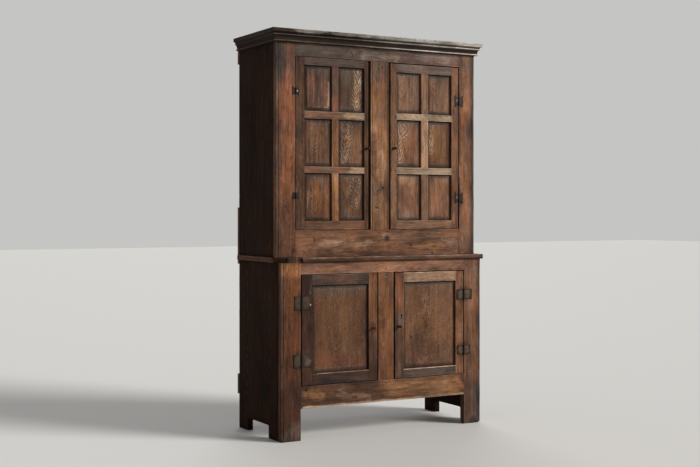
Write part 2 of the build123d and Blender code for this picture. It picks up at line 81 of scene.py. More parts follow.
QUIRK = 2.2 * MM  # the groove beside a bead
LIP_SETBACK = 13 * MM
LIP_WIDTHS = {"upper_left_door": 12 * MM, "upper_right_door": 9 * MM}
STUB_TENON = 9 * MM  # of a door's short muntins
TONGUE = 7 * MM  # a panel's edge, as deep in its groove as it is thick
PANEL_BEVEL = 20 * MM
LEAF_THICK = 2.5 * MM
KEYHOLE_X, KEYHOLE_TOP, KEYHOLE_BOTTOM = 99 * MM, 611 * MM, 588 * MM
KEYHOLE_ROUND, KEYHOLE_SLOT = 5 * MM, 2.25 * MM
FOOT_FRONT, FOOT_BACK, FOOT_GAP, FOOT_CORNER = 145 * MM, 402 * MM, 66 * MM, 9 * MM
# Points of the waist board's broken edge, in mm: from the corner along X, and behind the front
BROKEN_CORNER = ((0, 84), (18, 66), (31, 24), (36, 0))
NOSING_ROUND = 10 * MM
CORNICE_REACH, CORNICE_HEIGHT = 34 * MM, 69 * MM


# -------- shapes

SEED_COUNT = 9973


def seed_of(name):
    return zlib.crc32(name.encode()) % SEED_COUNT


# A hash that turns a point's whole numbers into any value from 0 to HASH_TOP
HASH_TOP = 0x7FFFFFFF
HASH_AXES, HASH_SEED = (73856093, 19349663, 83492791), 15485863
HASH_TURNS, HASH_LAST_SHIFT = ((15, 1103515245), (13, 1597334677)), 16


def smooth_noise(points, seed):
    """Noise from 0 to 1 at (..., 3) points: fixed values at whole numbers, smoothly joined."""
    cell = np.floor(points).astype(np.int64)
    part = points - cell
    part = part * part * (3 - 2 * part)
    total = np.zeros(points.shape[:-1])
    for offset in np.ndindex(2, 2, 2):
        key = ((cell + offset) * HASH_AXES).sum(-1) + seed * HASH_SEED & HASH_TOP
        for step, factor in HASH_TURNS:
            key = (key ^ (key >> step)) * factor & HASH_TOP
        share = np.where(offset, part, 1 - part).prod(-1)
        total += share * (key ^ (key >> HASH_LAST_SHIFT)) / HASH_TOP
    return total


def solids(node):
    """The lowest and highest corner of each separate solid in a CAD node, in order along X, then Z."""
    mesh = nodes[node].data
    spots = np.array([v.co for v in mesh.vertices])
    keys, index = np.unique(np.round(spots, 5), axis=0, return_inverse=True)
    index = index.ravel()
    group = list(range(len(keys)))

    def top(i):
        while group[i] != i:
            group[i] = group[group[i]]
            i = group[i]
        return i

    for face in mesh.polygons:
        first, *others = (top(index[v]) for v in face.vertices)
        for other in others:
            group[top(other)] = top(first)
    found = {}
    for i, key in enumerate(keys):
        found.setdefault(top(i), []).append(key)
    boxes = [(Vector(np.min(p, axis=0)), Vector(np.max(p, axis=0))) for p in found.values()]
    return sorted(boxes, key=lambda box: (round(box[0].x, 2), round(box[0].z, 2)))


# One corner of a board's section. Its darkening, grimy soiling and in places painted shade, is on the side
# that follows it.
Corner = namedtuple("Corner", "a b radius grime wear", defaults=(1.5 * MM, 0.0, 1.0))


def points_at(x, y, z):
    """Points from their coordinates, each an array or one number."""
    return np.stack(np.broadcast_arrays(x, y, z), axis=-1)


# A section's straight side has no points between its ends, or one, where it is shorter than these
BARE_SIDE, SHORT_SIDE = 3 * MM, 12 * MM
BESIDE_CORNER = 4 * MM
ARRIS_STEPS = 5


def side_shares(length, pitch):
    """Where the points of a straight side stand between its ends, closer beside the corners."""
    if length < BARE_SIDE:
        return []
    if length < SHORT_SIDE:
        return [0.5]
    edge = BESIDE_CORNER / length
    return list(np.linspace(edge, 1 - edge, max(2, round(length / pitch) + 1)))


def outline(corners, radii, pitch, rounded):
    """Rounded sections, one for each row of corners, with the same number of points in each. Returns the
    points, and for each point its corner and how far it stands on the rounded arris, from 0 to 1."""
    count = corners.shape[1]
    before = np.roll(corners, 1, axis=1) - corners
    after = np.roll(corners, -1, axis=1) - corners
    reach_before = np.linalg.norm(before, axis=2)
    reach_after = np.linalg.norm(after, axis=2)
    before /= reach_before[..., None]
    after /= reach_after[..., None]
    cosine = np.clip((before * after).sum(2), -0.999, 0.999)
    reach = radii * np.sqrt((1 + cosine) / (1 - cosine))
    reach = np.minimum(reach, 0.45 * np.minimum(reach_before, reach_after))[..., None]
    starts, ends = corners + before * reach, corners + after * reach
    rings, owner, bend = [], [], []
    for k in range(count):
        steps = np.linspace(0, 1, ARRIS_STEPS) if rounded[k] else np.array([0.5])
        s = steps[:, None]
        start, corner, end = (spots[:, k, None] for spots in (starts, corners, ends))
        arris = (1 - s) ** 2 * start + 2 * s * (1 - s) * corner + s**2 * end
        shares = side_shares(reach_after[:, k].max(), pitch)
        s = np.array(shares)[:, None]
        side = end * (1 - s) + starts[:, (k + 1) % count, None] * s if shares else arris[:, :0]
        rings += [arris, side]
        owner += [k] * (len(steps) + len(shares))
        bend += [*(1 - np.abs(2 * steps - 1) * 0.4), *[0.0] * len(shares)]
    return np.concatenate(rings, axis=1), np.array(owner), np.array(bend)


def face_outwards(mesh):
    """Turn all the faces of a closed mesh outwards."""
    shape = bmesh.new()
    shape.from_mesh(mesh)
    bmesh.ops.recalc_face_normals(shape, faces=shape.faces)
    if shape.calc_volume(signed=True) < 0:
        bmesh.ops.reverse_faces(shape, faces=shape.faces)
    shape.to_mesh(mesh)
    shape.free()


def new_mesh(name, vertices, faces):
    """A closed mesh with its faces outwards."""
    mesh = bpy.data.meshes.new(name)
    mesh.from_pydata(vertices, [], faces)
    face_outwards(mesh)
    return mesh


def add_object(name, data):
    """An object in the scene, with a mesh, lamp or camera in it."""
    made = bpy.data.objects.new(name, data)
    bpy.context.scene.collection.objects.link(made)
    return made


def add_piece(name, node, vertices, faces, wear, grime, material):
    """A piece that stands for a CAD node. The two arrays before the material are how worn each point is, and
    how darkened it is by grimy soiling and painted shade.
    """
    mesh = new_mesh(name, vertices, faces)
    for key, values in (("wear", wear), ("grime", grime)):
        mesh.attributes.new(key, "FLOAT", "POINT").data.foreach_set("value", values)
    mesh.polygons.foreach_set("use_smooth", [True] * len(mesh.polygons))
    mesh.materials.append(material)
    piece = add_object(name, mesh)
    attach(piece, nodes[node]["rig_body"])
    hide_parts(node)
    return piece


def tube_faces(rings, points):
    """The faces of a closed tube of rings, with a face over each end."""
    faces = []
    for i in range(rings - 1):
        for j in range(points):
            k = (j + 1) % points
            faces.append((i * points + j, i * points + k, (i + 1) * points + k, (i + 1) * points + j))
    faces.append(tuple(range(points)))
    faces.append(tuple(range((rings - 1) * points, rings * points)))
    return faces


def join_tubes(tubes):
    """The points and faces of several closed tubes of one make, each given as its rings of points."""
    vertices, faces = [], []
    for number, rings in enumerate(tubes):
        start = number * len(rings) * len(rings[0])
        faces += [tuple(v + start for v in face) for face in tube_faces(len(rings), len(rings[0]))]
        vertices += rings
    return np.concatenate(vertices), faces


def ring_round(x, y, z, reach, turns):
    """A ring of points round a line along Y."""
    return points_at(x + reach * np.cos(turns), y, z + reach * np.sin(turns))


ARRIS_WAVE, CHIP_WAVE = 80 * MM, 13 * MM  # how far apart an arris's changes of wear are, and its chips
CHIP_FLOOR, CHIP_RANGE = 0.78, 0.22  # noise above the floor makes a chip
HOLLOW_WAVE, DENT_WAVE = 60 * MM, 15 * MM
SOIL, SOIL_WAVE, SOIL_BESIDE_ARRIS, SOIL_BESIDE_END = 0.35, 25 * MM, 9 * MM, 14 * MM


def stations_along(length, end_round, pitch):
    """Places along a board from its start: close together on its rounded ends, and even between them."""
    low, high = 3 * end_round[0], length - 3 * end_round[1]
    middle = np.linspace(low, high, max(2, round((high - low) / pitch) + 1))
    ease = np.array([0, 0.25, 1])
    return np.concatenate([ease * end_round[0], middle, length - ease[::-1] * end_round[1]])


def board(
    name, node, axis, ends, corners, look, slot="oak_frame", rough=0.5 * MM, chips=2 * MM, pitch=12 * MM,
    across=22 * MM, end_round=(0.8 * MM, 0.8 * MM), stations=None, span=None,
):
    """A worn board along an axis, between two ends. corners is its section across the other two axes, or
    a function that gives it at a place along the axis. An end is a place along the axis, or a function of
    the section's points; span is then the place where the board starts, and its length. pitch and across
    are how far apart its points are, unless stations gives their places along the axis."""
    seed = seed_of(name)
    along = AXES.index(axis)
    section = [i for i in range(3) if i != along]
    first, last = (e if callable(e) else lambda a, b, e=e: a * 0 + e for e in ends)
    origin, length = span or (ends[0], ends[1] - ends[0])
    run = stations_along(length, end_round, pitch) if stations is None else np.array(stations) - stations[0]
    places = (origin + run)[:, None]
    rows = [corners(place) if callable(corners) else corners for place in places[:, 0]]
    spots = np.array([[(c.a, c.b) for c in row] for row in rows])
    radii = np.array([[c.radius for c in row] for row in rows])
    line = points_at(np.arange(spots.shape[1]) * 7.3, 0.0, places)
    wander = smooth_noise(line / (1, 1, ARRIS_WAVE), seed)
    bites = np.maximum(0, smooth_noise(line / (1, 1, CHIP_WAVE), seed + 1) - CHIP_FLOOR) / CHIP_RANGE
    worn = np.where(radii > 0, radii * (0.6 + 0.9 * wander) + chips * bites, 0)
    ring, owner, bend = outline(spots, worn, across, radii.max(axis=0) > 0)
    tangent = np.roll(ring, -1, axis=1) - np.roll(ring, 1, axis=1)
    a, b = ring[0].T
    area = (a * np.roll(b, -1) - b * np.roll(a, -1)).sum()
    inward = np.stack([-tangent[..., 1], tangent[..., 0]], axis=-1) * np.sign(area)
    inward /= np.linalg.norm(inward, axis=2)[..., None]

    def placed(ring, along_axis):
        points = np.empty((*ring.shape[:2], 3))
        points[..., section] = ring
        points[..., along] = along_axis
        return points

    points = placed(ring, places)
    hollow = 0.75 * smooth_noise(points / HOLLOW_WAVE, seed + 2)
    hollow = hollow + 0.25 * smooth_noise(points / DENT_WAVE, seed + 3)
    depth = rough * hollow * np.where(bend > 0, 0.4, 1.0)
    for distance, radius in ((run, end_round[0]), (length - run, end_round[1])):
        left = np.clip(radius - distance, 0, radius)
        depth = depth + (radius - np.sqrt(radius**2 - left**2))[:, None]
    ring = ring + inward * depth[..., None]
    a, b = ring[..., 0], ring[..., 1]
    start = first(a, b)
    points = placed(ring, start + (last(a, b) - start) * (run / length)[:, None])
    corner_wear, corner_grime_and_shade = np.array([(c.wear, c.grime) for c in rows[0]])[owner].T
    wear = bend * corner_wear * (0.35 + 0.65 * wander[:, owner])
    near = [np.linalg.norm(ring - ring[:, (j,)], axis=2) for j in np.flatnonzero(bend == 1)]
    near = np.exp(-np.minimum.reduce(near) / SOIL_BESIDE_ARRIS)
    soil = SOIL * np.maximum(near, np.exp(-np.minimum(run, length - run)[:, None] / SOIL_BESIDE_END))
    soil = soil * (0.4 + 1.2 * smooth_noise(points / SOIL_WAVE, seed + 4))
    # Darkening at each point: grimy soiling beside arrises and ends, and the corners' values, which in the
    # cornice's coves are painted shade
    grime = np.maximum(np.where(bend > 0, 0.3, 1.0) * corner_grime_and_shade, np.where(bend > 0, 0.0, soil))
    vertices, faces = points.reshape(-1, 3), tube_faces(*points.shape[:2])
    material = oak(name, look, vertices.min(axis=0), vertices.max(axis=0), along)
    return add_piece(name, node, vertices, faces, wear.ravel(), grime.ravel(), material)


def plank(name, node, axis, low, high, look, slot, radius=1.2 * MM, **cut):
    """A plain square board that fills the box between two corners."""
    along = AXES.index(axis)
    a, b = [i for i in range(3) if i != along]
    spots = ((low[a], low[b]), (high[a], low[b]), (high[a], high[b]), (low[a], high[b]))
    section = [Corner(*spot, radius) for spot in spots]
    board(name, node, axis, (low[along], high[along]), section, look, slot, **cut)


def upright_section(front, back, bottom, top, *corners):
    """A square section, from its lower front corner up and round. corners are radius, darkening by grimy
    soiling and painted shade, and wear.
    """
    spots = ((front, bottom), (front, top), (back, top), (back, bottom))
    return [Corner(*spot, *corner) for spot, corner in zip(spots, corners)]


# Steps from a panel's edge: 1 is at the tongue's shoulder, 2 at the field's edge, FIELD_START just inside
# it, 3 to 4 go across the field, and so on to LAST_STEP at the far edge
BEVEL_END, FIELD_START, LAST_STEP = 1.93, 2.07, 10
BORDER_STEPS = (0, 1, 1.25, 1.5, 1.75, BEVEL_END, 2, FIELD_START)
PANEL_PITCH = 6 * MM


def panel(name, node, low, high, look):
    """A panel with a bevelled border round a raised field, cut by hand, so that its lines waver."""
    seed = seed_of(name)
    foot = high.y - TONGUE
    rise = foot - low.y
    wide, tall = high.x - low.x, high.z - low.z
    fields = [3 + np.linspace(0, 1, round(size / PANEL_PITCH))[1:-1] for size in (wide, tall)]
    far_steps = [LAST_STEP - step for step in BORDER_STEPS[::-1]]
    u, v = np.meshgrid(*([*BORDER_STEPS, *field, *far_steps] for field in fields), indexing="ij")

    def bevel_width(side, along):
        waver = smooth_noise(points_at(along / (110 * MM), side * 5.3, 0.0), seed)
        return PANEL_BEVEL * (0.75 + 0.5 * waver)

    def border(step, width):
        return np.where(step < 1, TONGUE * step, TONGUE + width * (step - 1))

    def place(step, size, near, far):
        """How far along a side a grid line is: near and far are the widths of the two bevels there."""
        first, last = border(FIELD_START, near), size - border(FIELD_START, far)
        inner = first + (last - first) * (step - 3)
        sides = [border(step, near), size - border(LAST_STEP - step, far)]
        return np.select([step < 3, step > 5], sides, inner)

    rough_x, rough_z = place(u, wide, PANEL_BEVEL, PANEL_BEVEL), place(v, tall, PANEL_BEVEL, PANEL_BEVEL)
    x = low.x + place(u, wide, bevel_width(0, rough_z), bevel_width(1, rough_z))
    z = low.z + place(v, tall, bevel_width(2, rough_x), bevel_width(3, rough_x))
    step = np.minimum.reduce([u, LAST_STEP - u, v, LAST_STEP - v, np.full_like(u, 3)])
    height = rise * np.interp(step, [1, BEVEL_END, 2, FIELD_START], [0, 0.9, 0.97, 1])
    flat = points_at(x, 0.0, z)
    hollow = smooth_noise(flat / (70 * MM), seed + 5) * 0.7 + smooth_noise(flat / (16 * MM), seed + 6) * 0.3
    front = foot - height + 0.7 * MM * hollow
    back = high.y - 0.5 * MM * smooth_noise(flat / (50 * MM), seed + 7)
    vertices = np.concatenate([points_at(x, y, z).reshape(-1, 3) for y in (front, back)])
    count = x.size
    numbers = np.arange(count).reshape(x.shape)
    corners = (numbers[:-1, :-1], numbers[1:, :-1], numbers[1:, 1:], numbers[:-1, 1:])
    cells = np.stack(corners, axis=-1).reshape(-1, 4)
    faces = [tuple(c) for c in cells] + [tuple(c[::-1] + count) for c in cells]
    rim = [*numbers[:, 0], *numbers[-1, 1:], *numbers[-2::-1, -1], *numbers[0, -2:0:-1]]
    for one, other in zip(rim, rim[1:] + rim[:1]):
        faces.append((one, other, other + count, one + count))
    # Darker towards the frame: grimy soiling, and painted shade in the recess beside it
    grime = np.interp(step, [1, 1.5, 2, FIELD_START, 3], [0.9, 0.55, 0.3, 0.15, 0.0])
    wear = np.interp(step, [1.9, 2, FIELD_START, 3], [0.0, 0.7, 0.3, 0.0])
    wear, grime = (np.concatenate([values.ravel(), np.zeros(count)]) for values in (wear, grime))
    left, bottom, right, top = (value / MM for value in (low.x, low.z, high.x, high.z))
    tops = Mark((left, top - 14), (right, top - 14), 4, 34, BLUISH, 0.6, 30)
    bottoms = Mark((left, bottom + 14), (right, bottom + 14), 4, 28, BLUISH, 0.5, 30)
    material = oak(name, look, low, high, AXES.index("Z"), (tops, bottoms))
    add_piece(name, node, vertices, faces, wear, grime, material)


# -------- materials


def srgb(red, green, blue):
    """A colour in Blender's linear values, from its usual 0 to 255 values."""
    shares = (value / 255 for value in (red, green, blue))
    return tuple(s / 12.92 if s < 0.04045 else ((s + 0.055) / 1.055) ** 2.4 for s in shares)


WARM = srgb(126, 81, 49)
BROWN = srgb(108, 74, 50)
DUSK = srgb(90, 66, 50)
TAN = srgb(150, 116, 90)
RUSSET = srgb(126, 86, 60)
MAUVE = srgb(108, 86, 74)
DARK = srgb(74, 51, 38)
TAUPE = srgb(112, 101, 90)
UMBER = srgb(58, 38, 27)
DUSTY = srgb(126, 102, 80)
ROSE = srgb(132, 76, 58)
SLATE = srgb(64, 58, 54)
CREAM = srgb(184, 158, 130)
HONEY = srgb(170, 118, 72)
# Near black: soot in holes, cracks and corners, and painted shade in the cornice's coves, under the nosing,
# on a bevel and beside hinge pins
SOOT_AND_SHADE = srgb(22, 13, 9)
TAWNY = srgb(106, 77, 58)
OCHRE = srgb(124, 84, 51)
EMBER = srgb(126, 76, 44)
BLUISH = srgb(80, 71, 64)
PALE = srgb(154, 150, 144)
LEATHER = srgb(88, 70, 54)
ASH = srgb(58, 48, 42)
RUST = srgb(104, 44, 24)
IRON = srgb(34, 29, 26)
IRON_RUST = srgb(60, 38, 26)
IRON_BARE = srgb(84, 76, 68)
BARK = srgb(52, 30, 20)

# A wooden piece's looks. heart is where the tree's heart lay, in metres across the board and behind its
# middle, and lean how fast it came nearer along the board. ring is in mm, cloudy is how strong its clouds
# are, and lines how strong its long lines are: the fewer lines, the more small flecks it has.
LOOK_DEFAULTS = (1.0, 0.1, 0.6, 4.0, (0.03, 0.08), 0.05, 0.12, 1.0, 1.0)
LOOK_VALUES = "tone light grey figure ring heart lean gloss cloudy lines"
Look = namedtuple("Look", LOOK_VALUES, defaults=LOOK_DEFAULTS)
# A stain, scratch or hole: a soft line between two points of the face, in mm of the row frame. They are
# given by X and Z on a front, Y and Z on a side and X and Y on top. With a curl, it is only wavy lines
# about that far apart, as in curly grain; a knot's curl is -1. With a slant too, the lines meet in points
# along the mark, as flames do.
MARK_VALUES = "start end radius soft tint strength ragged curl slant"
Mark = namedtuple("Mark", MARK_VALUES, defaults=(0.8, 0.0, 0.0, 0.0))


def knot(x, z, radius):
    """A knot, as a row of MARKS: the material bends the grain round it."""
    return (x, z, x, z, radius * 0.35, radius * 0.5, SOOT_AND_SHADE, 0.8, radius * 0.6, -1.0)


def marks_of(name):
    """The marks of a piece, from its rows in MARKS."""
    return [Mark((a, b), (c, d), *rest) for a, b, c, d, *rest in MARKS.get(name, ())]


class Kit:
    """Short calls that add nodes to a tree. Each gives the new node's output, or all of its outputs."""

    def __init__(self, tree):
        self.tree = tree

    def feed(self, node, values):
        """Link or set a node's inputs."""
        for key, value in dict(values).items():
            if isinstance(value, bpy.types.NodeSocket):
                self.tree.links.new(value, node.inputs[key])
            else:
                node.inputs[key].default_value = value

    def node(self, kind, values=(), **settings):
        made = self.tree.nodes.new(kind)
        for key, value in settings.items():
            setattr(made, key, value)
        self.feed(made, values)
        return made.outputs

    def group(self, tree, values):
        return self.node("ShaderNodeGroup", values, node_tree=tree)

    def math(self, operation, *values):
        return self.node("ShaderNodeMath", enumerate(values), operation=operation)[0]

    def times(self, one, other):
        return self.math("MULTIPLY", one, other)

    def larger(self, one, other):
        return self.math("MAXIMUM", one, other)

    def total(self, *pairs):
        """The sum of values, each times its factor."""
        result = 0.0
        for value, factor in pairs:
            result = self.math("MULTIPLY_ADD", value, factor, result)
        return result

    def vector(self, operation, *values):
        made = self.node("ShaderNodeVectorMath", enumerate(values), operation=operation)
        return made["Value" if operation in ("LENGTH", "DOT_PRODUCT") else "Vector"]

    def scaled(self, vector, *factors):
        return self.vector("MULTIPLY", vector, factors)

    def split(self, vector):
        return self.node("ShaderNodeSeparateXYZ", {0: vector})

    def joined(self, *parts):
        return self.node("ShaderNodeCombineXYZ", enumerate(parts))[0]

    def noise(self, place, wave, shift=None, output=0):
        """Noise from 0 to 1, or three such noises from output 1."""
        vector = self.scaled(place, wave.across, wave.across, wave.along)
        if shift:
            vector = self.vector("ADD", vector, shift)
        values = {"Vector": vector, "Scale": 1.0, "Detail": wave.detail, "Roughness": wave.roughness}
        return self.node("ShaderNodeTexNoise", values)[output]

    def spread(self, place, wave):
        """Noise round 0."""
        return self.math("SUBTRACT", self.noise(place, wave), 0.5)

    def remap(self, value, low, high, to_low=0.0, to_high=1.0):
        values = enumerate((value, low, high, to_low, to_high))
        return self.node("ShaderNodeMapRange", values, interpolation_type="SMOOTHSTEP")[0]

    def blend(self, share, one, other, how="MIX"):
        values = {0: share, 6: one, 7: other}
        return self.node("ShaderNodeMix", values, data_type="RGBA", blend_type=how)[2]

    def dimmed(self, colour, factors):
        return self.blend(1.0, colour, opaque(factors), "MULTIPLY")

    def faded(self, colour, saturation, value):
        values = {"Saturation": saturation, "Value": value, "Color": colour}
        return self.node("ShaderNodeHueSaturation", values)[0]

    def attribute(self, name):
        return self.node("ShaderNodeAttribute", attribute_name=name)["Fac"]

    def bump(self, strength, distance, height):
        values = {"Strength": strength, "Distance": distance, "Height": height}
        return self.node("ShaderNodeBump", values)[0]


def opaque(colour):
    return (*colour, 1.0)


def new_group(name, inputs, outputs):
    """A node group, its kit, its inputs by name, and a call that sets an output. inputs and outputs give
    the names of the sockets of each kind."""
    tree = bpy.data.node_groups.new(name, "ShaderNodeTree")
    for way, sockets in (("INPUT", inputs), ("OUTPUT", outputs)):
        for kind, labels in sockets.items():
            for label in labels.split():
                tree.interface.new_socket(label, in_out=way, socket_type=f"NodeSocket{kind}")
    given = tree.nodes.new("NodeGroupInput")
    result = tree.nodes.new("NodeGroupOutput")
    return tree, Kit(tree), given.outputs, lambda label, value: tree.links.new(value, result.inputs[label])


def new_material(name):
    """A material, its kit and its shader."""
    material = bpy.data.materials.new(name)
    material.use_nodes = True
    return material, Kit(material.node_tree), material.node_tree.nodes["Principled BSDF"]


# Noise in a material: how many waves a metre has across and along the grain
Wave = namedtuple("Wave", "across along detail roughness", defaults=(2.0, 0.5))
SWAY = Wave(4, 1.6, 1.0)
RING_EDGE = Wave(45, 6)
BANDS = Wave(1, 1, 3.0, 0.6)  # along the rings' own radius
FIBRES = Wave(420, 9, 2.0, 0.6)
STREAKS = Wave(110, 3.5, 4.0, 0.78)
CLOUDS = Wave(13, 5, 4.0, 0.6)
DRIFT = Wave(4, 2.2, 1.0)
PORES = Wave(1300, 55, 1.0)
FLECKS = Wave(190, 80, 4.0, 0.75)
PATCHES = Wave(34, 11, 6.0, 0.72)
TINTS = Wave(9, 4, 3.0, 0.6)
VEIL = Wave(22, 8, 4.0, 0.65)
RUBBED = Wave(60, 20, 3.0)
SPECKS = Wave(50, 30, 4.0, 0.7)
TORN = Wave(30, 11, 6.0, 0.68)
IRON_PATCHES = Wave(130, 130, 5.0, 0.65)
IRON_DENTS = Wave(320, 320, 4.0, 0.6)
IRON_TORN = Wave(60, 60, 4.0, 0.65)
HOLE_CELLS, HOLE_EMPTY = 14, 0.6  # places for worm holes in a metre, and how many of them stay empty


def make_oak_group():
    """Old oak: growth rings round a wandering heart, pores along the grain, patina, grimy soiling with
    painted shade in recesses, and wear. Place is across, behind and along the board, in metres from its
    middle. Heart is the first two and the lean."""
    inputs = {"Vector": "Place Seed Heart", "Color": "Tone", "Float": "Ring Figure Warp Grey Cloudy Lines"}
    tree, kit, given, give = new_group("oak", inputs, {"Color": "Color", "Float": "Roughness Height"})
    place, tone, cloudy, long_lines = (given[label] for label in ("Place", "Tone", "Cloudy", "Lines"))
    moved = kit.vector("ADD", place, given["Seed"])
    # Growth rings: the distance from the tree's heart, which wanders along the board
    sway = kit.vector("SUBTRACT", kit.noise(moved, SWAY, output=1), (0.5, 0.5, 0.5))
    spot = kit.split(kit.vector("ADD", place, kit.scaled(sway, 0.05, 0.09, 0)))
    heart = kit.split(given["Heart"])
    across = kit.math("SUBTRACT", spot[0], heart[0])
    behind = kit.total((spot[1], 1.0), (heart[1], -1.0), (spot[2], heart[2]))
    radius = kit.math("SQRT", kit.total((across, across), (behind, behind)))
    radius = kit.total((radius, 1.0), (kit.spread(moved, RING_EDGE), 0.004), (given["Warp"], 1.0))
    bands = kit.spread(kit.vector("ADD", kit.joined(kit.times(radius, 60.0)), given["Seed"]), BANDS)
    turn = kit.math("FRACT", kit.total((kit.math("DIVIDE", radius, given["Ring"]), 1.0), (bands, 2.0)))
    early = kit.larger(kit.remap(turn, 0.0, 0.55, 1.0, 0.0), kit.remap(turn, 0.88, 1.0))
    # Fibres and pores along the board, and clouds of darker and paler wood
    fibres, streaks, clouds, drift, flecks = (
        kit.spread(moved, wave) for wave in (FIBRES, STREAKS, CLOUDS, DRIFT, FLECKS)
    )
    pores = kit.remap(kit.noise(moved, PORES), 0.5, 0.7)
    pores = kit.times(pores, kit.total((early, 0.65), (1.0, 0.35)))
    grain = kit.total((bands, 1.2), (early, -0.24), (0.08, 1.0))
    mottled = kit.times(kit.total((clouds, 2.6), (drift, 1.6)), cloudy)
    lines = kit.total((kit.times(streaks, cloudy), 2.0), (fibres, 1.2))
    flecked = kit.times(flecks, kit.math("SUBTRACT", 1.0, long_lines))
    shade = kit.total((grain, given["Figure"]), (mottled, 1.0), (lines, long_lines), (flecked, 3.5))
    deep, bright = kit.dimmed(tone, (0.3, 0.26, 0.24)), kit.dimmed(tone, (1.85, 1.82, 1.75))
    colour = kit.blend(kit.remap(shade, -1.1, 1.1), deep, bright)
    colour = kit.blend(kit.times(pores, 0.7), colour, kit.dimmed(colour, (0.3, 0.25, 0.22)))
    # Patches where the finish has gone, and darker ones where it is thick
    patches = kit.noise(moved, PATCHES, (3.1, 8.2, 1.9))
    bare = kit.times(kit.remap(patches, 0.535, 0.62, 0.0, 0.55), cloudy)
    colour = kit.blend(bare, colour, kit.faded(colour, 0.88, 1.5))
    thick = kit.times(kit.remap(patches, 0.465, 0.38, 0.0, 0.45), cloudy)
    colour = kit.blend(thick, colour, kit.faded(colour, 1.0, 0.55))
    # Reddish and greyish clouds
    red = kit.remap(kit.noise(moved, TINTS, (7.3, 1.1, 4.7)), 0.52, 0.75, 0.0, 0.35)
    colour = kit.blend(red, colour, kit.dimmed(colour, (1.25, 0.88, 0.8)))
    veil = kit.remap(kit.noise(moved, VEIL), 0.35, 0.62)
    colour = kit.blend(kit.times(veil, given["Grey"]), colour, kit.faded(colour, 0.3, 1.0))
    # Arrises rubbed pale; darkening from grimy soiling and, in recesses, painted shade; and worm holes
    rubbed = kit.times(kit.attribute("wear"), kit.remap(kit.noise(moved, RUBBED), 0.35, 0.6, 0.15, 0.75))
    colour = kit.blend(rubbed, colour, kit.faded(colour, 0.65, 1.8))
    specks = kit.times(kit.remap(kit.noise(moved, SPECKS), 0.56, 0.74), 0.5)
    flat = kit.scaled(moved, HOLE_CELLS, 0, HOLE_CELLS)
    cells = kit.node("ShaderNodeTexVoronoi", {"Vector": flat, "Scale": 1.0, "Randomness": 1.0})
    lucky = kit.node("ShaderNodeSeparateColor", {0: cells["Color"]})[0]
    lucky = kit.math("GREATER_THAN", lucky, HOLE_EMPTY)
    holes = kit.times(kit.remap(cells["Distance"], 0.018, 0.034, 1.0, 0.0), lucky)
    # Darkening: grimy soiling, specks and worm holes, and the painted shade of the cornice's coves and the
    # panels' borders
    dirt_and_shade = kit.larger(kit.larger(kit.attribute("grime"), specks), holes)
    give("Color", kit.blend(kit.times(dirt_and_shade, 0.88), colour, opaque(SOOT_AND_SHADE)))
    gloss = kit.remap(clouds, -0.2, 0.2, 0.5, 0.68)
    give("Roughness", kit.total((gloss, 1.0), (dirt_and_shade, 0.25), (pores, 0.12)))
    give("Height", kit.total((pores, -1.0), (early, -0.35), (fibres, 0.8), (holes, -2.0)))
    return tree


NO_CURL = 0.0001  # in metres: a mark whose lines would be closer than this has none


def make_mark_group():
    """A stain, scratch or hole: a soft line between two points of the face, torn along the grain."""
    floats = "Torn Radius Soft Ragged Strength Curl Slant"
    inputs = {"Vector": "Flat Start End", "Color": "Color Tint", "Float": floats}
    tree, kit, given, give = new_group("mark", inputs, {"Color": "Color"})
    reach = kit.vector("SUBTRACT", given["End"], given["Start"])
    offset = kit.vector("SUBTRACT", given["Flat"], given["Start"])
    along, whole = (kit.vector("DOT_PRODUCT", one, reach) for one in (offset, reach))
    share = kit.math("MINIMUM", kit.larger(kit.math("DIVIDE", along, whole), 0.0), 1.0)
    nearest = kit.node("ShaderNodeVectorMath", {0: reach, "Scale": share}, operation="SCALE")[0]
    distance = kit.vector("LENGTH", kit.vector("SUBTRACT", offset, nearest))
    distance = kit.total((distance, 1.0), (given["Torn"], kit.times(given["Ragged"], 2.0)))
    outer = kit.math("ADD", given["Radius"], given["Soft"])
    share = kit.times(kit.remap(distance, given["Radius"], outer, 1.0, 0.0), given["Strength"])
    # Curly grain: lines that run round the mark's middle, or slant across it
    turn = kit.total((kit.vector("LENGTH", nearest), given["Slant"]), (distance, 1.0))
    turn = kit.math("DIVIDE", turn, kit.larger(given["Curl"], NO_CURL))
    lines = kit.remap(kit.math("PINGPONG", turn, 0.5), 0.18, 0.45)
    lines = kit.larger(lines, kit.math("LESS_THAN", given["Curl"], NO_CURL))
    give("Color", kit.blend(kit.times(share, lines), given["Color"], given["Tint"]))
    return tree


def make_knot_group():
    """How far a knot pushes the rings round it."""
    inputs = {"Vector": "Flat Centre", "Float": "Warp Radius"}
    tree, kit, given, give = new_group("knot", inputs, {"Float": "Warp"})
    distance = kit.vector("LENGTH", kit.vector("SUBTRACT", given["Flat"], given["Centre"]))
    share = kit.math("POWER", kit.math("DIVIDE", distance, given["Radius"]), 2.0)
    push = kit.times(kit.math("EXPONENT", kit.times(share, -0.5)), given["Radius"])
    give("Warp", kit.total((given["Warp"], 1.0), (push, 1.6)))
    return tree


oak_group, mark_group, knot_group = make_oak_group(), make_mark_group(), make_knot_group()


def face_point(depth, point):
    """A point of a face, in metres, with nothing along the face's depth."""
    flat = [value * MM for value in point]
    flat.insert(depth, 0.0)
    return flat


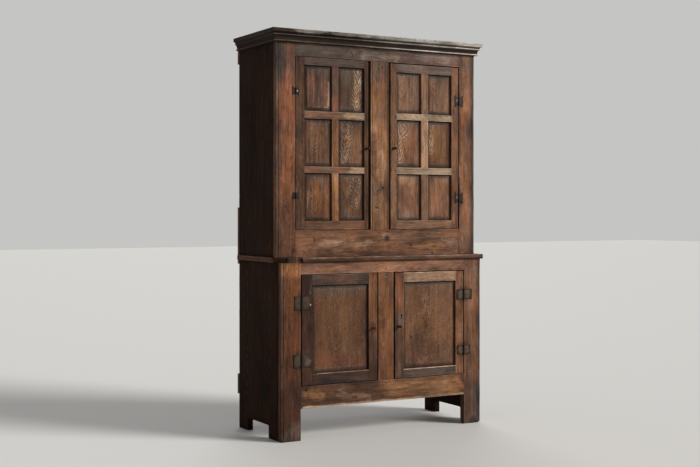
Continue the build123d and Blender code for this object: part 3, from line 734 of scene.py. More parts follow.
def add_marks(kit, colour, flat, torn, depth, marks):
    """The colour with marks in it. torn is noise round 0, for their edges."""
    for mark in marks:
        end = mark.end if mark.end != mark.start else (mark.end[0], mark.end[1] + 0.5)
        values = {"Color": colour, "Flat": flat, "Torn": torn, "Tint": opaque(mark.tint)}
        values |= {"Start": face_point(depth, mark.start), "End": face_point(depth, end)}
        values |= {"Radius": mark.radius * MM, "Soft": mark.soft * MM, "Ragged": mark.ragged * MM}
        values |= {"Strength": mark.strength, "Curl": max(0.0, mark.curl) * MM, "Slant": mark.slant}
        colour = kit.group(mark_group, values)["Color"]
    return colour


KNOT_REACH = 3  # how far a knot bends the grain, in its radii
KINDS_OF_WOOD = 97
APART = (0.37, 0.61, 0.83)  # how far apart two kinds of wood are cut from the noise


def oak(name, look, low, high, along, marks=()):
    """The material of one wooden piece that fills the box between low and high."""
    material, kit, shader = new_material(name)
    across, depth = sorted((i for i in range(3) if i != along), key=lambda i: low[i] - high[i])
    spot = kit.node("ShaderNodeTexCoord")["Object"]
    parts = kit.split(kit.vector("SUBTRACT", spot, [(low[i] + high[i]) / 2 for i in range(3)]))
    place = kit.joined(parts[across], parts[depth], parts[along])
    flat = kit.scaled(spot, *(0.0 if i == depth else 1.0 for i in range(3)))
    marks = [*marks, *marks_of(name)]
    warp = 0.0
    for mark in marks:
        if mark.curl < 0:
            values = {"Warp": warp, "Flat": flat, "Centre": face_point(depth, mark.start)}
            values["Radius"] = mark.radius * KNOT_REACH * MM
            warp = kit.group(knot_group, values)["Warp"]
    kind = seed_of(name) % KINDS_OF_WOOD
    apart = [kind * step for step in APART]
    torn = kit.spread(kit.vector("ADD", place, apart), TORN)
    tone = opaque(c * look.light for c in look.tone)
    marked = add_marks(kit, tone, flat, torn, depth, marks)
    if marks and depth == AXES.index("Y"):
        marked = kit.blend(kit.math("GREATER_THAN", parts[depth], 0.0), marked, tone)
    values = {"Place": place, "Seed": apart, "Warp": warp, "Tone": marked, "Ring": look.ring * MM}
    values |= {"Figure": look.figure, "Grey": look.grey, "Cloudy": look.cloudy, "Lines": look.lines}
    values["Heart"] = (look.heart[0] * (1 if kind % 2 else -1), look.heart[1], look.lean)
    wood = kit.group(oak_group, values)
    values = {"Base Color": wood["Color"], "Roughness": wood["Roughness"]}
    values["Normal"] = kit.bump(0.5, 0.5 * MM, wood["Height"])
    values["Specular IOR Level"] = look.gloss
    kit.feed(shader, values)
    return material


def make_iron(name, marks=()):
    """Wrought iron, black with age and brown with rust in places."""
    material, kit, shader = new_material(name)
    spot = kit.node("ShaderNodeTexCoord")["Object"]
    rust = kit.remap(kit.noise(spot, IRON_PATCHES), 0.45, 0.7)
    dents = kit.noise(spot, IRON_DENTS)
    colour = kit.blend(rust, opaque(IRON), opaque(IRON_RUST))
    colour = add_marks(kit, colour, kit.scaled(spot, 1, 0, 1), kit.spread(spot, IRON_TORN), 1, marks)
    colour = kit.blend(kit.remap(dents, 0.55, 0.75, 0.0, 0.2), colour, opaque(IRON_BARE))
    values = {"Base Color": colour, "Roughness": kit.remap(rust, 0.0, 1.0, 0.55, 0.85)}
    values |= {"Normal": kit.bump(0.6, 0.6 * MM, dents), "Metallic": 0.15, "Specular IOR Level": 0.15}
    kit.feed(shader, values)
    return material


# -------- looks of each piece

BASE_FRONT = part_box("base_post_left")[0].y
UPPER_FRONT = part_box("upper_post_left")[0].y

LOOKS = {
    "upper_post_left": Look(EMBER, 0.61, 0.12, cloudy=1.25),
    "upper_post_right": Look(WARM, 0.84, 0.25),
    "frieze_rail": Look(MAUVE, 0.68, 0.35),
    "upper_bottom_rail": Look(RUSSET, 0.69, 0.1, 0.8, cloudy=1.25),
    "upper_center_muntin": Look(OCHRE, 1.18, 0.15),
    "base_post_left": Look(EMBER, 0.49, 0.02, 0.7, cloudy=1.2),
    "base_post_right": Look(WARM, 0.68, 0.3),
    "base_top_rail": Look(RUSSET, 1.0, 0.2, 0.7),
    "base_bottom_rail": Look(RUSSET, 0.31, 0.12, 0.7),
    "base_center_muntin": Look(WARM, 0.69, 0.15, 0.7),
    "cornice": Look(DUSK, 0.23, 0.05, ring=3.0),
    "waist_nosing": Look(RUSSET, 0.34, 0.1, 0.8),
    "waist_board": Look(RUSSET, 0.4, 0.2, 0.7),
    # The sides' dark tone is partly painted shade
    "side": Look(UMBER, 0.52, 0.02, 0.8, heart=(0.05, 0.12), gloss=0.02),
    "inside": Look(DUSTY, 0.7, 0.25, 0.8, cloudy=0.5),
    "back": Look(DUSTY, 0.65, 0.35, 1.0, cloudy=0.5),
    "peg": Look(DARK, 0.8, 0.1, 0.4),
    "upper_left_door_stile": Look(BROWN, 0.51, 0.08, 0.7, cloudy=1.3),
    "base_left_door_panel": Look(BROWN, 0.5, 0.05, 0.9, cloudy=0.8, lines=0.3),
    "base_right_door_panel": Look(BROWN, 0.82, 0.1, 0.7, cloudy=0.8, lines=0.3),
}
# The looks of numbered pieces, from number 1
NUMBERED_LOOKS = {
    "upper_right_door_stile": (Look(OCHRE, 0.72, 0.25, 0.7), Look(WARM, 0.8, 0.25, 0.7)),
    "base_left_door_stile": (Look(BARK, 1.08, 0.02, 0.7, cloudy=1.25), Look(WARM, 0.68, 0.1, 0.7)),
    "base_right_door_stile": (Look(WARM, 0.54, 0.2), Look(WARM, 0.8, 0.2)),
    "upper_left_door_rail": (
        Look(RUSSET, 0.55), Look(TAN, 0.53), Look(TAN, 0.53), Look(MAUVE, 0.36, 0.5),
    ),
    "upper_right_door_rail": (
        Look(TAWNY, 1.27), Look(CREAM, 0.52), Look(CREAM, 0.64), Look(MAUVE, 0.75, 0.5),
    ),
    "base_left_door_rail": (
        Look(DARK, 0.66, 0.4, 0.7, cloudy=1.3), Look(DARK, 0.88, 0.4, 0.7, cloudy=1.4),
    ),
    "base_right_door_rail": (Look(MAUVE, 0.42, 0.2, 0.7, cloudy=1.3), Look(TAN, 0.82)),
    "upper_left_door_muntin": (Look(HONEY, 0.78), Look(OCHRE, 0.75), Look(TAWNY, 0.56)),
    "upper_right_door_muntin": (Look(TAWNY, 0.95), Look(TAN, 1.05), Look(TAWNY, 1.3)),
    "upper_left_door_panel": (
        Look(WARM, 0.7, 0.1, 0.9), Look(BROWN, 0.76, 0.1, 0.9), Look(TAWNY, 0.74, 0.1, 0.9),
        Look(BROWN, 0.52, 0.05, 0.9), Look(BROWN, 1.0, 0.1, 0.9), Look(TAWNY, 0.37, 0.05, 0.9),
    ),
    "upper_right_door_panel": (
        Look(RUSSET, 0.68, 0.1, 0.7), Look(RUSSET, 0.66, 0.1, 0.7), Look(TAWNY, 0.95, 0.1, 0.7),
        Look(RUSSET, 0.84, 0.1, 0.7), Look(OCHRE, 0.55, 0.1, 0.7), Look(TAWNY, 0.92, 0.1, 0.7),
    ),
}
for start, looks in NUMBERED_LOOKS.items():
    LOOKS |= {f"{start}_{number}": look for number, look in enumerate(looks, 1)}

# Each row is a mark: X and Z, or the like, of its start, those of its end, and the rest of a Mark's values
MARKS = {
    "frieze_rail": (
        (-600, 1990, -330, 1990, 50, 160, ASH, 0.75, 40),
        (-186, 1999, -207, 1978, 1.5, 2.0, SOOT_AND_SHADE, 0.8),
        (-176, 1991, -160, 1963, 1.5, 2.0, SOOT_AND_SHADE, 0.8),
        (-124, 1978, -98, 2000, 1.0, 2.0, SOOT_AND_SHADE, 0.6),
        (-100, 1978, 110, 1972, 2, 22, CREAM, 0.24, 70),
        (170, 1972, 470, 1968, 5, 40, ROSE, 0.3, 50),
        (240, 1990, 440, 1975, 4, 26, PALE, 0.25, 60),
    ),
    "upper_bottom_rail": (
        (36, 1028, 66, 1024, 12, 16, TAN, 0.5, 24),
        (46, 1020, 54, 1016, 16, 26, UMBER, 0.75, 24, 9),
        knot(46, 1013, 30),
        (-354, 986, -60, 984, 2, 22, CREAM, 0.18, 60),
        (-70, 1000, 0, 998, 2, 14, TAN, 0.4, 50),
        (-32, 1004, -32, 1000, 1.5, 3, SOOT_AND_SHADE, 0.8),
        (-8, 1001, -6, 998, 1.5, 3, SOOT_AND_SHADE, 0.8),
        (210, 968, 400, 966, 4, 22, HONEY, 0.4, 50),
        (-346, 935, -300, 933, 10, 30, UMBER, 0.6, 30),
        (-387, 1012, -389, 1000, 2.5, 5, SOOT_AND_SHADE, 0.7),
        (-259, 1095, -257, 1080, 1.2, 2, SOOT_AND_SHADE, 0.8),
        (197, 976, 197, 974, 3, 6, SOOT_AND_SHADE, 0.7),
        (440, 988, 490, 985, 10, 40, MAUVE, 0.6, 30),
        (331, 930, 331, 930, 3, 8, SOOT_AND_SHADE, 0.7),
    ),
    "upper_post_left": (
        (-604, 922, -604, 2050, 10, 20, SLATE, 0.6, 14),
        (-536, 1780, -536, 2000, 6, 20, ROSE, 0.36, 20),
        (-560, 2050, -560, 1970, 60, 130, ASH, 0.68, 50),
        (-594, 2050, -596, 1850, 10, 40, SLATE, 0.7, 40),
        (-560, 900, -550, 1150, 20, 90, UMBER, 0.5, 60),
        (-507, 960, -509, 948, 4, 8, SOOT_AND_SHADE, 0.7),
        (-581, 1612, -581, 1610, 2, 4, SOOT_AND_SHADE, 0.6),
        knot(-552, 1180, 8),
    ),
    "upper_post_right": (
        (604, 922, 604, 2050, 14, 22, SLATE, 0.7, 18),
        (560, 2040, 560, 2010, 40, 90, SLATE, 0.4, 60),
        (505, 1690, 507, 1850, 3, 14, SLATE, 0.75, 16),
        (505, 1190, 507, 1265, 5, 16, SLATE, 0.75, 16),
        (511, 1409, 511, 1678, 1.4, 3, SOOT_AND_SHADE, 0.8, 4),
        (510, 1341, 505, 1068, 1.4, 3, SOOT_AND_SHADE, 0.8, 4),
        (538, 1402, 541, 1337, 1.5, 4, SOOT_AND_SHADE, 0.6),
        (580, 994, 575, 940, 20, 40, SLATE, 0.5, 30),
    ),
    "upper_center_muntin": (
        (0, 1925, 0, 1880, 25, 50, SLATE, 0.6, 40),
        (-8, 1911, -8, 1900, 2, 3, SOOT_AND_SHADE, 0.9),
        (17, 1920, 17, 1908, 2, 3, SOOT_AND_SHADE, 0.9),
        (18, 1867, 16, 1850, 5, 20, ROSE, 0.6, 20),
        (-32, 1120, -30, 1360, 4, 18, MAUVE, 0.6, 20),
        (-30, 1340, 30, 1340, 90, 40, TAN, 0.5, 12, 11),
        (-30, 1210, 30, 1210, 60, 40, DUSTY, 0.5, 12, 9),
        (-12, 1262, -16, 1180, 6, 12, SOOT_AND_SHADE, 0.5, 40, 5),
        (28, 1210, 24, 1150, 4, 14, EMBER, 0.5, 20),
        (-6, 1292, 8, 1272, 12, 24, BLUISH, 0.55, 26),
        (18, 1284, 21, 1276, 2.5, 4, SOOT_AND_SHADE, 1.0, 4),
        (4, 1270, 4, 1268, 2, 4, SOOT_AND_SHADE, 1.0, 4),
        (-10, 1266, -12, 1258, 1.5, 4, SOOT_AND_SHADE, 0.8, 6),
        (-22, 1250, -20, 1240, 1, 3, SOOT_AND_SHADE, 0.6, 6),
        (-24, 1175, -10, 1173, 2, 4, SOOT_AND_SHADE, 0.8),
        (-14, 1166, -14, 1164, 1.5, 4, CREAM, 0.7),
    ),
    "base_post_left": (
        (-604, 100, -604, 890, 8, 18, SLATE, 0.6, 14),
        (-550, 20, -550, 150, 80, 140, BARK, 0.97, 50),
        (-570, 10, -530, 40, 16, 50, TAUPE, 0.3, 50),
        (-580, 860, -520, 860, 15, 40, HONEY, 0.35, 30),
        (-505, 665, -505, 720, 12, 22, UMBER, 0.7, 24),
        (-515, 375, -515, 430, 12, 24, UMBER, 0.7, 24),
    ),
    "base_post_right": (
        (604, 100, 604, 890, 10, 20, SLATE, 0.6, 14),
        (550, 20, 550, 130, 50, 120, DARK, 0.9, 50),
        (590, 30, 590, 200, 10, 30, SLATE, 0.8, 40),
        (560, 10, 560, 4, 8, 30, SOOT_AND_SHADE, 0.7, 30),
        (506, 685, 506, 725, 16, 20, UMBER, 0.6, 20),
        (506, 385, 506, 425, 14, 18, UMBER, 0.6, 20),
        (512, 286, 512, 284, 9, 5, UMBER, 0.6, 6),
        (512, 286, 512, 284, 2, 3, TAN, 0.7, 3),
    ),
    "base_center_muntin": (
        (6, 820, 6, 820, 11, 3, CREAM, 0.4, 3),
        (6, 820, 6, 820, 8, 2, DUSK, 0.9, 2),
    ),
    "base_bottom_rail": (
        (-17, 262, -15, 180, 1.2, 2.5, SOOT_AND_SHADE, 0.85, 4),
        (-480, 166, 490, 166, 1, 8, CREAM, 0.6, 14),
        (-280, 215, -100, 200, 3, 26, TAN, 0.35, 60),
        (30, 225, 430, 215, 20, 60, OCHRE, 0.62, 60),
        (-460, 230, -380, 215, 6, 30, HONEY, 0.3, 50),
        (-466, 255, -462, 253, 4, 6, SOOT_AND_SHADE, 0.8, 6),
        (455, 240, 490, 200, 6, 16, EMBER, 0.6, 30),
    ),
    "base_right_door_stile_1": (
        (99, 600, 99, 575, 12, 30, BLUISH, 0.6, 20),
        (88, 300, 88, 480, 20, 70, DARK, 0.75, 40),
        (88, 690, 88, 770, 12, 40, EMBER, 0.2, 30),
    ),
    "base_left_door_stile_2": (
        (-74, 300, -74, 450, 30, 90, UMBER, 0.85, 40),
        (-74, 560, -74, 535, 8, 20, SOOT_AND_SHADE, 0.5, 14),
    ),
    "base_left_door_stile_1": (
        (-470, 670, -470, 715, 18, 20, UMBER, 0.7, 24),
        (-470, 375, -470, 430, 18, 20, UMBER, 0.7, 24),
        (-440, 740, -438, 790, 0.5, 4, TAN, 0.2, 10),
    ),
    "base_right_door_stile_2": (
        (484, 685, 484, 725, 12, 18, UMBER, 0.6, 20),
        (484, 385, 484, 425, 12, 18, UMBER, 0.6, 20),
    ),
    "base_left_catch": ((-75, 555, -75, 553, 30, 10, RUST, 0.6, 6),),
    "base_right_catch": ((99, 548, 99, 546, 12, 8, RUST, 0.5, 8),),
    # A painted highlight on a nail head
    "upper_left_door_hinge_leaves": ((-487, 1768, -487, 1766, 2, 2.5, CREAM, 0.95),),
    "base_left_door_hinge_leaves": (
        # A painted highlight on a nail head
        (-442, 684, -442, 682, 2, 3, CREAM, 0.85),
        (-462, 388, -448, 396, 4, 14, TAUPE, 0.3, 24),
    ),
    "base_left_door_panel_1": (
        (-400, 760, -140, 770, 20, 60, BLUISH, 0.3, 60),
        (-270, 640, -260, 500, 50, 110, HONEY, 0.06, 90),
        (-350, 400, -170, 370, 20, 60, ROSE, 0.2, 70),
        (-190, 460, -170, 430, 20, 50, DUSK, 0.4, 60),
    ),
    "base_right_door_panel_1": (
        (280, 560, 300, 500, 40, 110, HONEY, 0.1, 90),
        (340, 760, 400, 600, 10, 60, DUSK, 0.4, 70),
        (200, 380, 400, 400, 20, 60, DUSK, 0.6, 70),
        (180, 400, 260, 360, 16, 40, ROSE, 0.2, 60),
        (258, 690, 279, 600, 14, 30, TAN, 0.5, 40, 12),
        (165, 489, 165, 486, 4, 10, SOOT_AND_SHADE, 0.6, 10),
    ),
    # A pale line along the top arris of each door's lower rail: partly wear, partly a painted highlight
    "base_right_door_rail_1": ((112, 321, 446, 321, 1, 3, TAN, 0.95, 3),),
    "base_left_door_rail_1": ((-400, 332, -100, 332, 1, 3, TAN, 0.5, 6),),
    "base_right_door_rail_2": (
        (200, 808, 330, 806, 6, 24, CREAM, 0.3, 30),
        (70, 808, 110, 808, 10, 30, BLUISH, 0.6, 20),
    ),
    "upper_left_door_rail_3": (
        (-197, 1650, -95, 1650, 8, 16, CREAM, 0.55, 30),
        (-440, 1650, -290, 1650, 10, 30, ROSE, 0.3, 30),
    ),
    "upper_left_door_rail_2": (
        (-420, 1368, -380, 1368, 8, 24, ROSE, 0.45, 30),
        (-268, 1368, -240, 1368, 6, 24, EMBER, 0.4, 30),
        (-160, 1368, -100, 1368, 6, 20, CREAM, 0.5, 30),
    ),
    "upper_left_door_muntin_3": ((-268, 1730, -268, 1690, 6, 30, ROSE, 0.4, 20),),
    "upper_left_door_panel_1": (
        knot(-402, 1222, 9),
        (-334, 1321, -334, 1270, 4, 14, BLUISH, 0.6, 20),
        (-315, 1275, -318, 1240, 4, 18, EMBER, 0.5, 20),
        (-417, 1258, -426, 1176, 1.2, 5, CREAM, 0.3, 6),
        (-396, 1290, -414, 1160, 6, 26, TAN, 0.4, 34, 12, 0.5),
    ),
    "upper_left_door_panel_2": (
        (-384, 1590, -392, 1470, 10, 20, DARK, 0.35, 34),
        (-384, 1590, -392, 1470, 6, 26, TAN, 0.4, 34, 13, 0.6),
    ),
    "upper_left_door_panel_3": (
        (-408, 1852, -390, 1735, 4, 30, ROSE, 0.25, 30),
        (-327, 1805, -309, 1713, 3, 20, ROSE, 0.3, 20),
        # Painted highlights on the right and lower bevels, and painted shade on the left bevel
        (-303, 1820, -303, 1700, 1, 5, CREAM, 0.55, 9),
        (-390, 1690, -303, 1690, 0.5, 5, TAN, 0.45, 10),
        (-434, 1890, -434, 1690, 7, 5, SOOT_AND_SHADE, 0.5, 5),
        (-400, 1890, -320, 1890, 10, 60, BLUISH, 0.35, 40),
    ),
    "upper_left_door_panel_4": (
        (-141, 1320, -141, 1190, 16, 24, DARK, 0.4, 34),
        (-141, 1320, -141, 1190, 16, 24, CREAM, 0.26, 38, 12, 0.6),
        (-199, 1150, -195, 1140, 8, 22, BLUISH, 0.6, 20),
        (-176, 1168, -176, 1164, 3, 14, EMBER, 0.3, 14),
    ),
    "upper_left_door_panel_5": (
        (-176, 1610, -208, 1440, 22, 20, DARK, 0.55, 36),
        (-176, 1610, -208, 1440, 18, 28, CREAM, 0.5, 40, 15, 0.6),
        (-176, 1550, -196, 1500, 6, 20, HONEY, 0.2, 30),
    ),
    "upper_left_door_panel_6": (
        (-220, 1900, -120, 1900, 30, 90, BLUISH, 0.5, 40),
        (-128, 1885, -134, 1700, 14, 18, DARK, 0.6, 30),
        (-128, 1885, -134, 1700, 10, 24, CREAM, 0.42, 34, 15, 0.6),
        (-136, 1800, -138, 1720, 3, 14, HONEY, 0.2, 22),
        # A painted highlight on the right bevel
        (-112, 1860, -110, 1740, 0.5, 5, PALE, 0.35, 14),
    ),
    "upper_right_door_panel_1": (
        (149, 1332, 200, 1325, 12, 30, TAN, 0.5, 30),
        (149, 1134, 190, 1130, 10, 36, MAUVE, 0.6, 30),
    ),
    "upper_right_door_panel_2": (
        (140, 1610, 116, 1440, 26, 26, DARK, 0.4, 36),
        (140, 1610, 116, 1440, 22, 34, CREAM, 0.4, 40, 15, 0.4),
    ),
    "upper_right_door_panel_5": (
        (320, 1610, 330, 1480, 8, 22, DARK, 0.3, 30),
        (320, 1610, 330, 1480, 8, 22, CREAM, 0.36, 30, 12, 0.3),
    ),
    "upper_right_door_panel_6": ((329, 1709, 331, 1855, 3, 16, EMBER, 0.5, 20),),
    "cornice_front": (
        # Paler towards the right: partly bleached wood, partly a painted pool of light. Then a painted
        # highlight along the cap and on each bead, and painted shade in the two coves
        (640, 2068, 640, 2066, 220, 700, PALE, 1.0, 90),
        (-540, 2071, 640, 2071, 3, 9, PALE, 0.4, 40),
        (-640, 2053, 640, 2053, 2, 4, SOOT_AND_SHADE, 0.85, 4),
        (-640, 2046, 640, 2046, 0.5, 2.5, TAUPE, 0.3, 6),
        (-640, 2032, 640, 2032, 8, 6, SOOT_AND_SHADE, 0.85, 6),
        (-640, 2017, 640, 2017, 1, 4, TAUPE, 0.2, 6),
    ),
    "waist_nosing_2": (
        (-560, 921, 600, 921, 0.6, 3, TAN, 0.3, 14),
        # Painted shade along the nosing's lower edge
        (-560, 900, 600, 900, 2, 6, SOOT_AND_SHADE, 0.7, 8),
        (-20, 912, 600, 912, 2, 8, DUSK, 0.5, 20),
    ),
    "waist_board": (
        (-566, -240, -556, -240, 6, 14, SOOT_AND_SHADE, 0.8, 8),
        (-541, -300, -541, -160, 1.5, 5, SOOT_AND_SHADE, 0.75, 4),
        (-527, -300, -527, -160, 1, 4, SOOT_AND_SHADE, 0.7, 4),
        (-517, -300, -517, -160, 2, 5, EMBER, 0.4, 4),
        (-505, -300, -505, -160, 2, 6, SOOT_AND_SHADE, 0.75, 4),
    ),
    "upper_right_door_hinge_leaves": (
        # Painted highlights on the knuckles of the pins
        (492, 1768, 492, 1758, 1.2, 4, PALE, 0.45, 2),
        (492, 1236, 492, 1228, 1.2, 4, PALE, 0.35, 2),
    ),
}


def look_of(name):
    """The looks of a piece: its own, or else those of the longest name that its name starts with."""
    starts = [key for key in LOOKS if name.startswith(key)]
    return LOOKS[max(starts, key=len)]


# -------- face frames

JOINT_GRIME = 0.55  # on a side that faces a door or a joint
SHOULDER = (0.4 * MM, 0.4 * MM)
FOOT_WEAR = {"base_post_left": 3 * MM, "base_post_right": 11 * MM}


# A bead's width, the radii of its outer and inner arris, and the wear of its inner arris and of the groove's
POST_BEAD = (13 * MM, 5 * MM, 2.5 * MM, 0.6, 0.5)
MUNTIN_BEAD = (8 * MM, 3 * MM, 2 * MM, 0.5, 0.4)


def beaded_edge(edge, inward, front, bead):
    """The corners of a bead along a board's edge and of the groove beside it."""
    width, outer_round, inner_round, inner_wear, groove_wear = bead
    near = edge + inward * width
    far = near + inward * QUIRK
    return [
        Corner(edge, front, outer_round, 0.0, 0.7),
        Corner(near, front, inner_round, 1.0, inner_wear),
        Corner(near, front + QUIRK, 0.3 * MM, 1.0, 0),
        Corner(far, front + QUIRK, 0.3 * MM, 0.8, 0),
        Corner(far, front, 0.8 * MM, 0.0, groove_wear),
    ]


def make_post(name):
    """A front post: a wide board with a bead along its outer edge."""
    low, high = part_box(name)
    outer, inner = (low.x, high.x) if low.x < 0 else (high.x, low.x)
    section = [
        *beaded_edge(outer, math.copysign(1, inner - outer), low.y, POST_BEAD),
        Corner(inner, low.y, 1.8 * MM, JOINT_GRIME, 0.8),
        Corner(inner, high.y, 1 * MM),
        Corner(outer, high.y, 1 * MM),
    ]
    foot = low.z
    cut = {"rough": 0.7 * MM, "chips": 3 * MM, "span": (low.z, high.z - low.z)}
    if name in FOOT_WEAR:
        wear, seed = FOOT_WEAR[name], seed_of(name)
        foot = lambda a, b: wear * smooth_noise(points_at(a, b, 0.0) / (14 * MM), seed) ** 2
        cut["across"] = 7 * MM
    board(name, name, "Z", (foot, high.z), section, look_of(name), **cut)


def make_frame_rail(name, posts):
    """A rail from post to post. Its tenons stay hidden in the posts."""
    low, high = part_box(name)
    ends = (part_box(posts[0])[1].x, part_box(posts[1])[0].x)
    wave = 4 * MM if name == "base_bottom_rail" else 0.0
    front, joint, back = (1.8 * MM, 0.0, 0.8), (1.8 * MM, JOINT_GRIME, 0.8), (1 * MM, 0.0)

    def section(x):
        bottom = low.z + wave * smooth_noise(np.array([x / (90 * MM), 0.5, 0.5]), seed_of(name))
        return upright_section(low.y, high.y, bottom, high.z, front, joint, back, (1 * MM, JOINT_GRIME))

    board(name, name, "X", ends, section, look_of(name), rough=0.7 * MM, chips=3 * MM, end_round=SHOULDER)


def make_frame_muntin(name, rails, beaded):
    """The upright in the middle of a front, with a bead along each edge in the upper case."""
    low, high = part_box(name)
    ends = (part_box(rails[0])[1].z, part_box(rails[1])[0].z)
    if beaded:
        left, right = beaded_edge(low.x, 1, low.y, MUNTIN_BEAD), beaded_edge(high.x, -1, low.y, MUNTIN_BEAD)
    else:
        left, right = ([Corner(edge, low.y, 1.8 * MM, 0.0, 0.8)] for edge in (low.x, high.x))
    section = left + right[::-1]
    section[-1] = section[-1]._replace(grime=JOINT_GRIME)
    section += [Corner(high.x, high.y, 1 * MM), Corner(low.x, high.y, 1 * MM, JOINT_GRIME)]
    board(name, name, "Z", ends, section, look_of(name), rough=0.6 * MM, end_round=SHOULDER)


for case in ("base", "upper"):
    posts = (f"{case}_post_left", f"{case}_post_right")
    for post in posts:
        make_post(post)
    rails = (f"{case}_bottom_rail", "base_top_rail" if case == "base" else "frieze_rail")
    for rail in rails:
        make_frame_rail(rail, posts)
    make_frame_muntin(f"{case}_center_muntin", rails, beaded=case == "upper")


# -------- carcase boards


def foot_height(y):
    """The height of a base side board's lower edge: its feet, and the gap between them."""
    into = min(y - BASE_FRONT - FOOT_FRONT, BASE_FRONT + FOOT_BACK - y)
    if into <= 0:
        return 0.0
    rise = math.sqrt(max(0.0, FOOT_CORNER**2 - max(0.0, FOOT_CORNER - into) ** 2))
    return FOOT_GAP - FOOT_CORNER + rise


def make_base_side(name):
    """A side board with two feet, made of sections from front to back."""
    low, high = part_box(name)
    gap = (BASE_FRONT + FOOT_FRONT, BASE_FRONT + FOOT_BACK)
    curve = [0.02 * MM, 0.6 * MM, 2 * MM, 5 * MM, FOOT_CORNER]
    stations = [*np.linspace(low.y, gap[0], 8), *(gap[0] + step for step in curve)]
    stations += [*np.linspace(gap[0] + 2 * FOOT_CORNER, gap[1] - 2 * FOOT_CORNER, 12)]
    stations += [*(gap[1] - step for step in curve[::-1]), *np.linspace(gap[1], high.y, 8)]

    def section(y):
        feet = [Corner(x, foot_height(y), 1.2 * MM) for x in (low.x, high.x)]
        return [*feet, Corner(high.x, high.z, 1 * MM), Corner(low.x, high.z, 1 * MM)]

    cut = {"rough": 0.9 * MM, "chips": 1 * MM, "end_round": (1 * MM, 1 * MM), "stations": stations}
    piece = board(name, name, "Y", (low.y, high.y), section, look_of("side"), "oak_side", **cut)
    piece.data.materials[0] = oak(f"{name}_grain", look_of("side"), low, high, AXES.index("Z"))


for side in ("left", "right"):
    make_base_side(f"base_side_{side}")
    node = f"upper_side_{side}"
    plank(node, node, "Z", *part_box(node), look_of("side"), "oak_side", rough=0.9 * MM, end_round=SHOULDER)

for node in ("base_bottom_board", "upper_bottom_board", "top_board"):
    plank(node, node, "X", *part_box(node), look_of("inside"), "oak_inside", pitch=40 * MM, across=60 * MM)
# Nodes of several loose boards, with the axis that these run along, and their looks
LOOSE_BOARDS = {
    "base_shelf": ("X", "inside"),
    "upper_shelves": ("X", "inside"),
    "shelf_cleats": ("Y", "inside"),
    "back_battens": ("X", "back"),
    "base_back_boards": ("Z", "back"),
    "upper_back_boards": ("Z", "back"),
}
for node, (axis, kind) in LOOSE_BOARDS.items():
    cut = {"radius": 0.6 * MM, "pitch": 30 * MM, "across": 40 * MM, "rough": 0.25 * MM}
    for number, box in enumerate(solids(node), 1):
        plank(f"{node}_{number}", node, axis, *box, look_of(kind), "oak_inside", **cut)


# -------- waist and cornice


def make_waist_board():
    """The board between the two cases, with its left front corner broken away."""
    name = "waist_board"
    low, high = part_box(name)
    broken_x = [low.x + x * MM for x, _ in BROKEN_CORNER]
    broken_y = [low.y + y * MM for _, y in BROKEN_CORNER]
    stations = [*broken_x, *np.linspace(broken_x[-1] + 8 * MM, high.x, 60)]
    corners = [(radius * MM,) for radius in (1.5, 2.5, 1, 1)]

    def section(x):
        front = float(np.interp(x, broken_x, broken_y))
        return upright_section(front, high.y, low.z, high.z, *corners)

    cut = {"rough": 0.8 * MM, "across": 60 * MM, "stations": stations}
    board(name, name, "X", (low.x, high.x), section, look_of(name), "oak_waist", **cut)


def make_nosing(number, low, high):
    """A rounded strip: along the front, or along a side of the waist."""
    cut = {"rough": 0.9 * MM, "chips": 4 * MM, "pitch": 9 * MM, "end_round": (1 * MM, 1 * MM)}
    outer, inner = (low.x, high.x) if low.x < 0 else (high.x, low.x)
    ends, axis = (low.y, high.y), "Y"
    if high.x - low.x > high.y - low.y:
        outer, inner, ends, axis = low.y, high.y, (low.x, high.x), "X"
        cut["end_round"] = (5.5 * MM, 3 * MM)
    round_side = [(NOSING_ROUND, 0.0, wear) for wear in (0.4, 0.9)]
    section = upright_section(outer, inner, low.z, high.z, *round_side, *[(0.6 * MM, 0.6, 0.2)] * 2)
    name = f"waist_nosing_{number}"
    board(name, "waist_nosing", axis, ends, section, look_of("waist_nosing"), "oak_waist", **cut)


make_waist_board()
for number, box in enumerate(solids("waist_nosing"), 1):
    make_nosing(number, *box)


def arc(start, middle, end, count):
    """Points on the circle through three points, from the first to just before the last."""
    (ax, ay), (bx, by), (cx, cy) = start, middle, end
    d = 2 * (ax * (by - cy) + bx * (cy - ay) + cx * (ay - by))
    squares = [x * x + y * y for x, y in (start, middle, end)]
    x = (squares[0] * (by - cy) + squares[1] * (cy - ay) + squares[2] * (ay - by)) / d
    y = (squares[0] * (cx - bx) + squares[1] * (ax - cx) + squares[2] * (bx - ax)) / d
    turns = [math.atan2(py - y, px - x) for px, py in (start, middle, end)]
    whole = (turns[2] - turns[0]) % math.tau
    if (turns[1] - turns[0]) % math.tau > whole:
        whole -= math.tau
    radius = math.hypot(ax - x, ay - y)
    steps = [turns[0] + whole * i / count for i in range(count)]
    return [(x + radius * math.cos(t), y + radius * math.sin(t)) for t in steps]


# The cornice's section, in mm: reach from the case, and height above its lower edge
CORNICE_ARCS = (
    ((13, 1.5), (18.5, 6), (13, 10.5)),
    ((13, 10.5), (15.5, 24), (22, 32)),
    ((22, 32), (25, 34.5), (22, 37)),
    ((22, 37), (25, 43.5), (31, 47)),
)
# How dark each arc of the section is: in the two coves this is painted shade, on the beads a little grimy
# soiling
CORNICE_SHADE_AND_GRIME = (0.25, 0.9, 0.1, 0.95)
CORNICE_WEAR = (0.9, 0.1, 1.0, 0.1)


